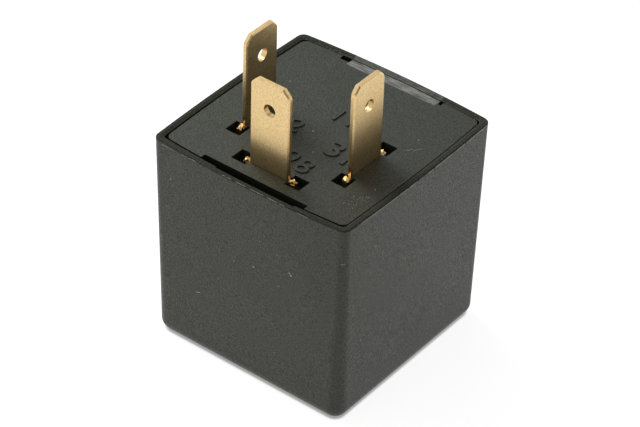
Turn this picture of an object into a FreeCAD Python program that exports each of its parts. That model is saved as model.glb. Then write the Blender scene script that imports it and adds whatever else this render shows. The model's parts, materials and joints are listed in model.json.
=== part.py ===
import FreeCAD, Part
import math
import os

import Sketcher

# A three-blade cube relay that stands on the closed end of its can, blades up.
# The origin is the middle of the closed end's flat face, X runs along the front latch slot,
# Y runs away from the front, and Z points up out of the can's mouth. Lengths are millimetres.

DRIVING_SIZES = [
    # Can
    ("cover_width", "31.7"),
    ("cover_depth", "31.4"),
    ("cover_height", "32.3"),
    ("cover_draft", "0.23"),
    ("cover_wall", "1.0"),
    ("cover_floor", "1.2"),
    ("mouth_radius", "1.2"),
    ("mouth_inner_radius", "0.6"),
    ("end_radius", "1.9"),
    ("end_inner_radius", "1.2"),
    ("end_fillet", "1.8"),
    ("end_band", "0.18"),
    ("side_bow", "0.28"),
    ("front_bow", "0.58"),
    ("seat_rib_radius", "1.6"),
    ("rim_bevel", "0.15"),
    ("lead_in_width", "0.4"),
    ("lead_in_depth", "0.16"),
    # Snap between can and base
    ("snap_depth", "5.8"),
    ("snap_play", "0.1"),
    ("snap_window_height", "2.6"),
    ("snap_window_depth", "0.5"),
    ("snap_window_margin", "1.0"),
    ("relief_x", "1.0"),
    ("relief_width", "12.8"),
    ("relief_height", "3.0"),
    ("relief_depth", "0.25"),
    ("latch_width", "13.0"),
    ("latch_thickness", "1.0"),
    ("latch_tail", "0.4"),
    ("nose_height", "2.0"),
    ("nose_land", "0.5"),
    ("nose_grip", "0.3"),
    # Base plate
    ("base_shift", "0.12"),
    ("rim_recess", "0.1"),
    ("plate_thickness", "2.2"),
    ("plate_radius", "1.0"),
    ("plate_gap_x", "0.2"),
    ("plate_gap_y", "0.15"),
    ("notch_width", "16.85"),
    ("notch_x", "0.1"),
    ("notch_depth", "1.0"),
    ("back_notch_left", "1.5"),
    ("back_notch_right", "0.6"),
    ("back_ledge_drop", "0.08"),
    ("post_radius", "1.5"),
    ("post_edge_gap", "1.9"),
    ("front_post_inset", "4.0"),
    ("back_post_inset", "6.2"),
    ("side_post_y", "-3.4"),
    ("peg_radius", "0.8"),
    ("peg_inset", "0.1"),
    # Blades
    ("blade_width", "6.3"),
    ("blade_thickness", "0.8"),
    ("blade_height", "13.65"),
    ("blade_tip_cut", "1.05"),
    ("blade_shoulder_radius", "1.0"),
    ("blade_tip_bevel", "0.18"),
    ("detent_radius", "0.93"),
    ("detent_height", "9.5"),
    ("front_blade_inset", "2.83"),
    ("front_blade_x", "0.18"),
    ("side_blade_inset", "5.95"),
    ("side_blade_y", "-2.65"),
    ("ear_length", "1.0"),
    ("ear_drop", "0.35"),
    ("pocket_size", "2.35"),
    ("pocket_depth", "1.5"),
    ("blade_play", "0.05"),
    ("shoulder_drop", "0.35"),
    ("tail_width", "2.0"),
    ("tail_inset", "0.1"),
    ("front_tail_shift", "-0.5"),
    ("side_tail_shift", "2.0"),
    # Circuit board
    ("board_inset_x", "1.05"),
    ("board_latch_gap", "0.5"),
    ("board_thickness", "1.6"),
    ("board_gap", "3.4"),
    ("board_corner_cut", "2.4"),
    ("hole_play", "0.15"),
    ("pin_rise", "0.9"),
    ("solder_margin", "0.3"),
    ("solder_height", "0.5"),
    ("solder_bevel", "0.2"),
    # Magnet
    ("relay_x", "2.9"),
    ("core_y", "3.0"),
    ("core_radius", "2.0"),
    ("spigot_radius", "1.5"),
    ("pole_radius", "3.8"),
    ("pole_thickness", "1.25"),
    ("yoke_thickness", "1.5"),
    ("yoke_width", "9.6"),
    ("yoke_height", "13.8"),
    ("yoke_foot_overhang", "3.0"),
    ("yoke_bend_radius", "0.4"),
    ("fit_play", "0.05"),
    ("flange_width", "10.0"),
    ("flange_depth", "10.4"),
    ("flange_thickness", "1.0"),
    ("flange_to_yoke", "0.2"),
    ("bobbin_wall", "0.7"),
    ("winding_height", "9.0"),
    ("winding_radius", "4.7"),
    ("winding_crown", "0.25"),
    ("pin_size", "0.6"),
    ("pin_spread", "4.0"),
    ("pin_inset", "0.9"),
    ("pin_stub", "0.6"),
    # Armature and its contact
    ("open_angle", "4.0"),
    ("pole_gap_closed", "0.06"),
    ("hinge_inset", "0.7"),
    ("armature_thickness", "1.3"),
    ("armature_width", "9.0"),
    ("armature_overhang", "0.4"),
    ("armature_nose", "0.43"),
    ("spring_thickness", "0.25"),
    ("spring_width", "5.0"),
    ("spring_arm_width", "3.6"),
    ("spring_rise", "7.8"),
    ("spring_arm_length", "5.35"),
    ("spring_bend_radius", "0.6"),
    ("rivet_radius", "0.7"),
    ("rivet_head_radius", "1.1"),
    ("rivet_head_height", "0.45"),
    ("rivet_crown_radius", "0.66"),
    ("rivet_edge_height", "0.22"),
    ("rivet_spread", "1.5"),
    ("armature_rivet_reach", "1.7"),
    ("yoke_rivet_rise", "5.6"),
    ("contact_tip_margin", "1.8"),
    ("contact_radius", "1.4"),
    ("contact_height", "0.8"),
    ("contact_face_radius", "0.98"),
    ("contact_bevel", "0.2"),
    ("contact_shank_radius", "0.75"),
    ("contact_upset_height", "0.2"),
    ("contact_upset_radius", "1.0"),
    ("contact_gap_closed", "0.08"),
    ("fixed_contact_height", "0.7"),
    ("strip_thickness", "0.5"),
    ("strip_bend_radius", "0.25"),
    ("bracket_width", "3.0"),
    ("bracket_clearance", "0.7"),
    ("bracket_lap", "1.4"),
    ("stop_width", "2.6"),
    ("stop_spacing", "1.3"),
    ("stop_lap", "0.5"),
    ("stop_gap", "0.06"),
    # Small components
    ("chip_inset_x", "4.4"),
    ("chip_inset_y", "7.0"),
    ("chip_length", "9.4"),
    ("chip_width", "6.3"),
    ("chip_thickness", "3.3"),
    ("chip_standoff", "0.6"),
    ("chip_edge", "0.35"),
    ("chip_notch_radius", "0.7"),
    ("chip_notch_depth", "0.7"),
    ("chip_leg_pitch", "2.54"),
    ("chip_leg_span", "7.62"),
    ("chip_leg_width", "0.5"),
    ("chip_leg_thickness", "0.25"),
    ("can_inset_x", "3.0"),
    ("can_inset_y", "3.6"),
    ("can_radius", "2.5"),
    ("can_length", "11.0"),
    ("can_wall", "0.3"),
    ("can_groove", "0.3"),
    ("seal_height", "1.4"),
    ("can_standoff", "0.3"),
    ("can_lead_spread", "1.0"),
    ("lead_radius", "0.25"),
    ("lead_bend_radius", "0.6"),
    ("lead_overhang", "1.4"),
    ("component_standoff", "0.3"),
    ("column_inset", "1.6"),
    ("back_resistor_inset", "5.9"),
    ("front_resistor_x", "-3.4"),
    ("front_resistor_inset", "6.0"),
    ("resistor_length", "3.6"),
    ("resistor_radius", "0.95"),
    ("resistor_waist", "0.75"),
    ("resistor_cap", "0.9"),
    ("resistor_neck", "0.3"),
    ("component_edge", "0.25"),
    ("diode_spacing", "7.8"),
    ("diode_length", "3.9"),
    ("diode_radius", "0.95"),
    ("shunt_offset", "-1.2"),
    ("shunt_gap", "1.4"),
    ("shunt_span", "5.0"),
    ("shunt_drop", "4.0"),
    ("shunt_width", "2.0"),
]

# A chip with four legs a side: each leg's place along the row, in pitches from the middle
CHIP_LEG_STEPS = (-1.5, -0.5, 0.5, 1.5)
NEARNESS = 0.01

doc = FreeCAD.newDocument("relay")
sheet = doc.addObject("Spreadsheet::Sheet", "Sizes")
failures = []


class Size:
    """A length that keeps the formula of sheet cells that it is worked out from."""

    def __init__(self, formula, number):
        self.formula = formula
        self.number = number

    def __add__(self, other):
        other = as_size(other)
        return Size(f"({self.formula} + {other.formula})", self.number + other.number)

    def __radd__(self, other):
        return as_size(other) + self

    def __sub__(self, other):
        other = as_size(other)
        return Size(f"({self.formula} - {other.formula})", self.number - other.number)

    def __rsub__(self, other):
        return as_size(other) - self

    def __mul__(self, other):
        other = as_size(other)
        return Size(f"({self.formula} * {other.formula})", self.number * other.number)

    def __rmul__(self, other):
        return as_size(other) * self

    def __truediv__(self, other):
        other = as_size(other)
        return Size(f"({self.formula} / {other.formula})", self.number / other.number)

    def __neg__(self):
        return Size(f"(0 - {self.formula})", -self.number)


def as_size(value):
    if isinstance(value, Size):
        return value
    return Size(f"({value})", float(value))


def tangent_of(angle):
    return Size(f"tan({angle.formula} * 1 deg)", math.tan(math.radians(angle.number)))


def cosine_of(angle):
    return Size(f"cos({angle.formula} * 1 deg)", math.cos(math.radians(angle.number)))


class SizeNames:
    """The driving sizes, each under its own name."""


s = SizeNames()
for row, (name, text) in enumerate(DRIVING_SIZES, start=1):
    sheet.set(f"A{row}", name)
    sheet.set(f"B{row}", text)
    sheet.setAlias(f"B{row}", name)
    setattr(s, name, Size(f"Sizes.{name}", float(text)))
doc.recompute()

# Levels, from the floor up
end_half_x = s.cover_width / 2 - s.cover_draft
end_half_y = s.cover_depth / 2 - s.cover_draft
wall_start = s.end_fillet + s.end_band
plate_top = s.cover_height - s.rim_recess
plate_bottom = plate_top - s.plate_thickness
board_top = plate_bottom - s.board_gap
board_bottom = board_top - s.board_thickness
pin_top = board_top + s.pin_rise
blade_tip = plate_top + s.blade_height
pocket_floor = plate_top - s.pocket_depth
tail_bottom = board_bottom + s.tail_inset
catch_level = s.cover_height - s.snap_depth

# The can's inner wall at the middle of its front and back, at the mouth and at the catch
mouth_wall_y = s.cover_depth / 2 + s.front_bow - s.cover_wall
catch_wall_y = mouth_wall_y - (s.front_bow + s.cover_draft) * s.snap_depth / s.cover_height
plate_half_x = s.cover_width / 2 - s.cover_wall - s.plate_gap_x
plate_half_y = s.cover_depth / 2 - s.cover_wall - s.plate_gap_y
notch_inner_y = plate_half_y + s.front_bow - s.notch_depth
latch_inner_y = notch_inner_y - s.latch_thickness
board_half_x = plate_half_x - s.board_inset_x
board_half_y = latch_inner_y - s.board_latch_gap
side_blade_x = plate_half_x - s.side_blade_inset
front_blade_y = s.front_blade_inset - notch_inner_y

# The magnet hangs under the board
yoke_end = board_bottom - s.yoke_height
core_shoulder = board_bottom - s.yoke_thickness
flange_top = core_shoulder
winding_top = flange_top - s.flange_thickness
winding_bottom = winding_top - s.winding_height
flange_bottom = winding_bottom - s.flange_thickness
yoke_inner_y = s.core_y + s.flange_depth / 2 + s.yoke_bend_radius + s.fit_play
yoke_outer_y = yoke_inner_y + s.yoke_thickness
yoke_foot_y = s.core_y - s.yoke_foot_overhang
pin_y = s.core_y - s.flange_depth / 2 + s.pin_inset

# The armature rocks on the yoke's end, and is modelled about its own hinge line
hinge_y = yoke_outer_y - s.hinge_inset
hinge_z = yoke_end - s.pole_gap_closed
armature_length = hinge_y - s.core_y + s.pole_radius + s.armature_overhang
open_slope = tangent_of(s.open_angle)
open_cosine = cosine_of(s.open_angle)
open_sine = open_slope * open_cosine
leaf_middle = s.armature_thickness + s.spring_thickness / 2
spring_reach = armature_length + s.spring_arm_length
spring_tip_y = hinge_y - spring_reach
contact_reach = spring_reach - s.contact_tip_margin
contact_y = hinge_y - contact_reach
fixed_face_z = hinge_z - s.armature_thickness + s.contact_height + s.contact_gap_closed
bracket_level = fixed_face_z + s.fixed_contact_height
bracket_y = spring_tip_y - s.bracket_clearance
stop_y = bracket_y - s.strip_thickness - s.stop_spacing

# What hangs under the board, each set in from the board's edges or from the magnet
chip_x = s.chip_inset_x - board_half_x
chip_y = board_half_y - s.chip_inset_y
can_x = s.can_inset_x - board_half_x
can_y = s.can_inset_y - board_half_y
column_x = board_half_x - s.column_inset
back_resistor_y = board_half_y - s.back_resistor_inset
diode_y = back_resistor_y - s.diode_spacing
shunt_x = s.relay_x + s.shunt_offset
shunt_y = s.core_y - s.flange_depth / 2 - s.shunt_gap - s.shunt_width / 2
RESISTOR_PLACES = [(column_x, back_resistor_y),
                   (s.front_resistor_x, s.front_resistor_inset - board_half_y)]
DIODE_PLACES = [(column_x, diode_y)]
POST_PLACES = [(board_half_x - s.front_post_inset, s.post_edge_gap - board_half_y),
               (s.post_edge_gap - board_half_x, s.side_post_y),
               (board_half_x - s.back_post_inset, board_half_y - s.post_edge_gap)]


def number(value):
    return value.number if isinstance(value, Size) else float(value)


def bind(thing, path, value):
    """Tie one property of an object to the sheet."""
    thing.setExpression(path, as_size(value).formula)


def new_body(label):
    body = doc.addObject("PartDesign::Body", label)
    body.Label = label
    return body


def place(thing, x, y, z):
    for axis, value in (("x", x), ("y", y), ("z", z)):
        bind(thing, f"Placement.Base.{axis}", value)


def new_sketch(body, plane_role, offset=None):
    """A sketch on one of the body's own planes; offset moves it along the plane's normal."""
    sketch = body.newObject("Sketcher::SketchObject", body.Label + "_sketch")
    plane = [item for item in body.Origin.OriginFeatures if item.Role == plane_role][0]
    sketch.AttachmentSupport = [(plane, "")]
    sketch.MapMode = "FlatFace"
    if offset is not None:
        bind(sketch, "AttachmentOffset.Base.z", offset)
    return sketch


def hold_point(sketch, geometry, position, x, y):
    """Constrain a point of the sketch to the place given by two sizes."""
    for kind, value, axis in (("DistanceX", x, -2), ("DistanceY", y, -1)):
        if number(value) == 0.0 and not isinstance(value, Size):
            sketch.addConstraint(Sketcher.Constraint("PointOnObject", geometry, position, axis))
            continue
        rule = Sketcher.Constraint(kind, -1, 1, geometry, position, number(value))
        index = sketch.addConstraint(rule)
        label = f"{kind}_{geometry}_{position}"
        sketch.renameConstraint(index, label)
        bind(sketch, f"Constraints.{label}", value)


def hold_size(sketch, rule, label, value):
    index = sketch.addConstraint(rule)
    sketch.renameConstraint(index, label)
    bind(sketch, f"Constraints.{label}", value)


def add_polygon(sketch, corners):
    first = sketch.GeometryCount
    points = [FreeCAD.Vector(number(x), number(y), 0) for x, y in corners]
    count = len(points)
    for index in range(count):
        sketch.addGeometry(Part.LineSegment(points[index], points[(index + 1) % count]), False)
    joins = [Sketcher.Constraint("Coincident", first + index, 2, first + (index + 1) % count, 1)
             for index in range(count)]
    sketch.addConstraint(joins)
    for index, (x, y) in enumerate(corners):
        hold_point(sketch, first + index, 1, x, y)


def add_rectangle(sketch, low_x, high_x, low_y, high_y):
    first = sketch.GeometryCount
    x = (number(low_x), number(high_x))
    y = (number(low_y), number(high_y))
    points = [FreeCAD.Vector(*pair, 0) for pair in ((x[0], y[0]), (x[1], y[0]), (x[1], y[1]), (x[0], y[1]))]
    for index in range(4):
        sketch.addGeometry(Part.LineSegment(points[index], points[(index + 1) % 4]), False)
    rules = [Sketcher.Constraint("Coincident", first + index, 2, first + (index + 1) % 4, 1)
             for index in range(4)]
    rules += [Sketcher.Constraint("Horizontal", first + index) for index in (0, 2)]
    rules += [Sketcher.Constraint("Vertical", first + index) for index in (1, 3)]
    sketch.addConstraint(rules)
    hold_point(sketch, first, 1, low_x, low_y)
    hold_point(sketch, first + 2, 1, high_x, high_y)


def add_centred_rectangle(sketch, x, y, half_x, half_y):
    add_rectangle(sketch, x - half_x, x + half_x, y - half_y, y + half_y)


def add_circle(sketch, x, y, radius):
    centre = FreeCAD.Vector(number(x), number(y), 0)
    circle = sketch.addGeometry(Part.Circle(centre, FreeCAD.Vector(0, 0, 1), number(radius)), False)
    hold_point(sketch, circle, 3, x, y)
    rule = Sketcher.Constraint("Radius", circle, number(radius))
    hold_size(sketch, rule, f"radius_{circle}", radius)


def add_straight_outline(sketch, half_x, half_y, radius):
    """A rounded rectangle with straight sides, begun at the foot of its +X side."""
    x, y, r = number(half_x), number(half_y), number(radius)
    corners = [(x - r, y - r, 0), (r - x, y - r, 90), (r - x, r - y, 180), (x - r, r - y, 270)]
    sides = [((x, r - y), (x, y - r)), ((x - r, y), (r - x, y)),
             ((-x, y - r), (-x, r - y)), ((r - x, -y), (x - r, -y))]
    for (start, end), (cx, cy, turn) in zip(sides, corners):
        line = Part.LineSegment(FreeCAD.Vector(*start, 0), FreeCAD.Vector(*end, 0))
        sketch.addGeometry(line, False)
        circle = Part.Circle(FreeCAD.Vector(cx, cy, 0), FreeCAD.Vector(0, 0, 1), r)
        arc = Part.ArcOfCircle(circle, math.radians(turn), math.radians(turn + 90))
        sketch.addGeometry(arc, False)
    join_outline(sketch)
    rules = [Sketcher.Constraint("Vertical", index) for index in (0, 4)]
    rules += [Sketcher.Constraint("Horizontal", index) for index in (2, 6)]
    sketch.addConstraint(rules)
    reaches = [("DistanceX", 0, half_x), ("DistanceY", 2, half_y),
               ("DistanceX", 4, -half_x), ("DistanceY", 6, -half_y)]
    for kind, geometry, value in reaches:
        rule = Sketcher.Constraint(kind, -1, 1, geometry, 1, number(value))
        hold_size(sketch, rule, f"reach_{geometry}", value)
    hold_corner_radius(sketch, radius)


def add_bowed_outline(sketch, half_x, half_y, radius, bow_x, bow_y):
    """A rounded rectangle whose four sides are shallow arcs, begun at the foot of its +X side."""
    flat_x = half_x - radius
    flat_y = half_y - radius
    arc_x = (flat_y * flat_y + bow_x * bow_x) / (2 * bow_x)
    arc_y = (flat_x * flat_x + bow_y * bow_y) / (2 * bow_y)
    centre_x = half_x + bow_x - arc_x
    centre_y = half_y + bow_y - arc_y
    lean_x = math.asin(number(flat_y) / number(arc_x))
    lean_y = math.asin(number(flat_x) / number(arc_y))
    sides = [(centre_x, 0, arc_x, 0, lean_x), (0, centre_y, arc_y, 90, lean_y),
             (-centre_x, 0, arc_x, 180, lean_x), (0, -centre_y, arc_y, 270, lean_y)]
    x, y, r = number(half_x), number(half_y), number(radius)
    corners = [(x - r, y - r), (r - x, y - r), (r - x, r - y), (x - r, r - y)]
    leans = [lean_x, lean_y, lean_x, lean_y, lean_x]
    up = FreeCAD.Vector(0, 0, 1)
    for index, (cx, cy, arc_radius, turn, lean) in enumerate(sides):
        middle = math.radians(turn)
        circle = Part.Circle(FreeCAD.Vector(number(cx), number(cy), 0), up, number(arc_radius))
        sketch.addGeometry(Part.ArcOfCircle(circle, middle - lean, middle + lean), False)
        circle = Part.Circle(FreeCAD.Vector(*corners[index], 0), up, r)
        quarter = middle + math.pi / 2
        arc = Part.ArcOfCircle(circle, middle + lean, quarter - leans[index + 1])
        sketch.addGeometry(arc, False)
    join_outline(sketch)
    for index, (cx, cy, arc_radius, turn, lean) in enumerate(sides):
        hold_point(sketch, 2 * index, 3, cx, cy)
        rule = Sketcher.Constraint("Radius", 2 * index, number(arc_radius))
        hold_size(sketch, rule, f"side_radius_{index}", arc_radius)
    hold_corner_radius(sketch, radius)


def join_outline(sketch):
    """Join sides and corners of a rounded outline smoothly, end to start."""
    rules = [Sketcher.Constraint("Tangent", index, 2, (index + 1) % 8, 1) for index in range(8)]
    sketch.addConstraint(rules)


def hold_corner_radius(sketch, radius):
    sketch.addConstraint([Sketcher.Constraint("Equal", 1, index) for index in (3, 5, 7)])
    hold_size(sketch, Sketcher.Constraint("Radius", 1, number(radius)), "corner_radius", radius)


def pad(body, sketch, length, both_ways=False):
    feature = body.newObject("PartDesign::Pad", body.Label + "_pad")
    feature.Profile = sketch
    bind(feature, "Length", length)
    feature.SideType = "Symmetric" if both_ways else "One side"


def pocket(body, sketch, depth=None, reverse=False):
    """Cut the sketch into the body: to a depth, or right through both ways."""
    feature = body.newObject("PartDesign::Pocket", body.Label + "_pocket")
    feature.Profile = sketch
    if depth is None:
        feature.Type = "ThroughAll"
        feature.SideType = "Symmetric"
    else:
        bind(feature, "Length", depth)
        feature.Reversed = reverse


def loft(body, sketches, cut=False):
    kind = "PartDesign::SubtractiveLoft" if cut else "PartDesign::AdditiveLoft"
    feature = body.newObject(kind, body.Label + "_loft")
    feature.Profile = sketches[0]
    feature.Sections = sketches[1:]
    feature.Ruled = True


def revolve(body, outline):
    """Turn an outline of (radius, height) points once round the body's own Z axis."""
    sketch = new_sketch(body, "XZ_Plane")
    add_polygon(sketch, outline)
    feature = body.newObject("PartDesign::Revolution", body.Label + "_turn")
    feature.Profile = sketch
    feature.ReferenceAxis = (sketch, ["V_Axis"])
    feature.Angle = 360


def near(value, target):
    return abs(value - number(target)) < NEARNESS


def dress_edges(body, kind, size, wanted):
    """Fillet or chamfer the edges of the body's last shape that pass a test."""
    doc.recompute()
    base = body.Tip
    names = [f"Edge{index}" for index, edge in enumerate(base.Shape.Edges, start=1) if wanted(edge)]
    if not names:
        failures.append(f"{body.Label}: no edge found to dress")
        return
    feature = body.newObject(f"PartDesign::{kind}", f"{body.Label}_{kind}")
    feature.Base = (base, names)
    bind(feature, "Radius" if kind == "Fillet" else "Size", size)


def along_x_at(y, z):
    """A test for straight edges that run along X at one place."""
    def test(edge):
        box = edge.BoundBox
        straight = box.YLength < NEARNESS and box.ZLength < NEARNESS and box.XLength > NEARNESS
        return straight and near(box.YMin, y) and near(box.ZMin, z)
    return test


def at_level(z):
    """A test for edges that lie in one level plane."""
    def test(edge):
        box = edge.BoundBox
        return box.ZLength < NEARNESS and near(box.ZMin, z)
    return test


def group(label, members):
    """Several separate solids of one kind, kept together."""
    compound = doc.addObject("Part::Compound", label)
    compound.Label = label
    compound.Links = members
    return compound


def quarter_turn(x, y, z):
    """A quarter turn about the axis in that direction."""
    return FreeCAD.Rotation(FreeCAD.Vector(x, y, z), 90)


def placed_copy(source, label, x, y, z, turn=FreeCAD.Rotation()):
    link = doc.addObject("App::Link", label)
    link.LinkedObject = source
    link.LinkTransform = True
    link.Placement = FreeCAD.Placement(FreeCAD.Vector(0, 0, 0), turn)
    place(link, x, y, z)
    return link


def make_cover():
    """The moulded can: a filleted closed end, drafted walls that bow towards the mouth."""
    body = new_body("cover")
    end = new_sketch(body, "XY_Plane")
    add_straight_outline(end, end_half_x, end_half_y, s.end_radius)
    pad(body, end, wall_start)
    dress_edges(body, "Fillet", s.end_fillet, at_level(0))
    foot = new_sketch(body, "XY_Plane", wall_start)
    add_straight_outline(foot, end_half_x, end_half_y, s.end_radius)
    mouth = new_sketch(body, "XY_Plane", s.cover_height - s.rim_bevel)
    add_bowed_outline(mouth, s.cover_width / 2, s.cover_depth / 2, s.mouth_radius,
                      s.side_bow, s.front_bow)
    rim = new_sketch(body, "XY_Plane", s.cover_height)
    add_bowed_outline(rim, s.cover_width / 2 - s.rim_bevel, s.cover_depth / 2 - s.rim_bevel,
                      s.mouth_radius - s.rim_bevel, s.side_bow, s.front_bow)
    loft(body, [foot, mouth, rim])
    inner_end = new_sketch(body, "XY_Plane", s.cover_floor)
    add_straight_outline(inner_end, end_half_x - s.cover_wall, end_half_y - s.cover_wall,
                         s.end_inner_radius)
    inner_mouth = new_sketch(body, "XY_Plane", s.cover_height - s.lead_in_depth)
    add_bowed_outline(inner_mouth, s.cover_width / 2 - s.cover_wall, s.cover_depth / 2 - s.cover_wall,
                      s.mouth_inner_radius, s.side_bow, s.front_bow)
    wall = s.cover_wall - s.lead_in_width
    lead_in = new_sketch(body, "XY_Plane", s.cover_height)
    add_bowed_outline(lead_in, s.cover_width / 2 - wall, s.cover_depth / 2 - wall,
                      s.mouth_inner_radius + s.lead_in_width, s.side_bow, s.front_bow)
    loft(body, [inner_end, inner_mouth, lead_in], cut=True)
    add_seat_ribs(body)
    cut_snap_windows(body)
    return body


def add_seat_ribs(body):
    """Round ribs in the can's corners, whose tops carry the base plate."""
    sketch = new_sketch(body, "XY_Plane", s.cover_floor / 2)
    rib_x = end_half_x - s.end_radius
    rib_y = end_half_y - s.end_radius
    for x in (rib_x, -rib_x):
        for y in (rib_y, -rib_y):
            add_circle(sketch, x, y, s.seat_rib_radius)
    pad(body, sketch, plate_bottom - s.cover_floor / 2)


def cut_snap_windows(body):
    """Blind windows that catch the latch noses, and a relief at the mouth above the front one."""
    window_half = s.latch_width / 2 + s.snap_window_margin
    window_y = catch_wall_y + s.snap_window_depth
    windows = new_sketch(body, "XY_Plane", catch_level)
    relief_y = mouth_wall_y + s.relief_depth
    relief = new_sketch(body, "XY_Plane", s.cover_height)
    for side in (1, -1):
        low, high = sorted((notch_inner_y * side, window_y * side), key=number)
        add_rectangle(windows, -window_half, window_half, low, high)
    add_rectangle(relief, s.relief_x - s.relief_width / 2, s.relief_x + s.relief_width / 2,
                  -relief_y, -notch_inner_y)
    pocket(body, windows, s.snap_window_height)
    pocket(body, relief, s.relief_height)


def blade_places():
    """Middle of each blade, whether its width runs along Y, and how far its tail is off the middle."""
    return [("front_terminal", s.front_blade_x, front_blade_y, False, s.front_tail_shift),
            ("left_terminal", -side_blade_x, s.side_blade_y, True, s.side_tail_shift),
            ("right_terminal", side_blade_x, s.side_blade_y, True, -s.side_tail_shift)]


def add_blade_rectangle(sketch, place_of_blade, near_end, far_end, half_thickness):
    """A rectangle along one blade's width, from near_end to far_end of its middle."""
    name, x, y, turned, tail_shift = place_of_blade
    if turned:
        add_rectangle(sketch, x - half_thickness, x + half_thickness, y + near_end, y + far_end)
    else:
        add_rectangle(sketch, x + near_end, x + far_end, y - half_thickness, y + half_thickness)


def make_base():
    body = new_body("base")
    plate = new_sketch(body, "XY_Plane", plate_bottom)
    add_bowed_outline(plate, plate_half_x, plate_half_y, s.plate_radius, s.side_bow, s.front_bow)
    pad(body, plate, s.plate_thickness)
    cut_latch_notches(body)
    cut_blade_slots(body)
    add_latches(body)
    add_posts(body)
    place(body, s.base_shift, 0, 0)
    return body


def cut_latch_notches(body):
    """An open notch at the front, and at the back a shallow ledge with an open notch at each end."""
    beyond = plate_half_y + s.front_bow + s.notch_depth
    left = s.notch_x - s.notch_width / 2
    right = s.notch_x + s.notch_width / 2
    through = new_sketch(body, "XY_Plane", plate_top)
    add_rectangle(through, left, right, -beyond, -notch_inner_y)
    add_rectangle(through, left, left + s.back_notch_left, notch_inner_y, beyond)
    add_rectangle(through, right - s.back_notch_right, right, notch_inner_y, beyond)
    pocket(body, through, s.plate_thickness)
    ledge = new_sketch(body, "XY_Plane", plate_top)
    add_rectangle(ledge, left + s.back_notch_left, right - s.back_notch_right, notch_inner_y, beyond)
    pocket(body, ledge, s.back_ledge_drop)


def cut_blade_slots(body):
    """A slot through the plate for each blade, with a square pocket over each of its ears."""
    slots = new_sketch(body, "XY_Plane", plate_top)
    pockets = new_sketch(body, "XY_Plane", plate_top)
    half_width = s.blade_width / 2 + s.blade_play
    half_thickness = s.blade_thickness / 2 + s.blade_play
    for blade in blade_places():
        add_blade_rectangle(slots, blade, -half_width, half_width, half_thickness)
        far = half_width + s.pocket_size
        add_blade_rectangle(pockets, blade, -far, -half_width, s.pocket_size / 2)
        add_blade_rectangle(pockets, blade, half_width, far, s.pocket_size / 2)
    pocket(body, slots, s.plate_thickness)
    pocket(body, pockets, s.pocket_depth)


def add_latches(body):
    """Front and back legs with a nose each, hung from the plate inside the notches."""
    nose_top = catch_level - s.snap_play
    nose_bottom = nose_top - s.nose_height
    leg_bottom = nose_bottom - s.latch_tail
    nose_y = catch_wall_y + s.nose_grip
    for side in (1, -1):
        sketch = new_sketch(body, "YZ_Plane")
        corners = [(latch_inner_y, plate_bottom), (latch_inner_y, leg_bottom),
                   (notch_inner_y, leg_bottom), (notch_inner_y, nose_bottom),
                   (nose_y, nose_top - s.nose_land), (nose_y, nose_top),
                   (notch_inner_y, nose_top), (notch_inner_y, plate_bottom)]
        add_polygon(sketch, [(y * side, z) for y, z in corners])
        pad(body, sketch, s.latch_width, both_ways=True)


def add_posts(body):
    """Posts that space the board off the plate, each with a peg into a hole of the board."""
    for radius, foot in ((s.post_radius, board_top), (s.peg_radius, board_bottom + s.peg_inset)):
        sketch = new_sketch(body, "XY_Plane", foot)
        for x, y in POST_PLACES:
            add_circle(sketch, x, y, radius)
        pad(body, sketch, plate_bottom - foot)


def make_terminal(place_of_blade):
    """One stamped blade: tab, staking ears in the pockets, and a tail soldered to the board."""
    label, x, y, turned, tail_shift = place_of_blade
    body = new_body(label)
    half = s.blade_width / 2
    ear = half + s.ear_length
    shoulder = plate_bottom - s.shoulder_drop
    right_side = [(half, shoulder), (half, pocket_floor), (ear, pocket_floor),
                  (ear, plate_top - s.ear_drop), (half, plate_top - s.ear_drop),
                  (half, blade_tip - s.blade_tip_cut), (half - s.blade_tip_cut, blade_tip)]
    left_side = [(-x_place, z_place) for x_place, z_place in reversed(right_side)]
    tail_left = tail_shift - s.tail_width / 2
    tail_right = tail_shift + s.tail_width / 2
    tail = [(tail_left, shoulder), (tail_left, tail_bottom),
            (tail_right, tail_bottom), (tail_right, shoulder)]
    outline = new_sketch(body, "XZ_Plane")
    add_polygon(outline, right_side + left_side + tail)
    pad(body, outline, s.blade_thickness, both_ways=True)

    def on_shoulder(edge):
        box = edge.BoundBox
        return near(box.ZMin, blade_tip - s.blade_tip_cut) and box.ZLength < NEARNESS

    def on_tip(edge):
        box = edge.BoundBox
        high = box.ZMax > number(blade_tip - s.blade_tip_cut) - NEARNESS
        return high and box.YLength < NEARNESS

    dress_edges(body, "Fillet", s.blade_shoulder_radius, on_shoulder)

    dress_edges(body, "Chamfer", s.blade_tip_bevel, on_tip)
    hole = new_sketch(body, "XZ_Plane")
    add_circle(hole, 0, plate_top + s.detent_height, s.detent_radius)
    pocket(body, hole)
    if turned:
        body.Placement = FreeCAD.Placement(FreeCAD.Vector(0, 0, 0), quarter_turn(0, 0, 1))
    place(body, s.base_shift + x, y, 0)
    return body


def lead_ends(x, y, body_length):
    """Where the two leads of a component that lies along Y pass through the board."""
    reach = body_length / 2 + s.lead_overhang
    return [(x, y - reach), (x, y + reach)]


def round_pins():
    """Centres of all round leads that pass through the board."""
    centres = [(can_x - s.can_lead_spread, can_y), (can_x + s.can_lead_spread, can_y)]
    for x, y in RESISTOR_PLACES:
        centres += lead_ends(x, y, s.resistor_length)
    for x, y in DIODE_PLACES:
        centres += lead_ends(x, y, s.diode_length)
    return centres


def chip_leg_places():
    offsets = [s.chip_leg_pitch * step for step in CHIP_LEG_STEPS]
    return [(chip_x + s.chip_leg_span / 2 * side, chip_y + offset)
            for side in (-1, 1) for offset in offsets]


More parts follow.
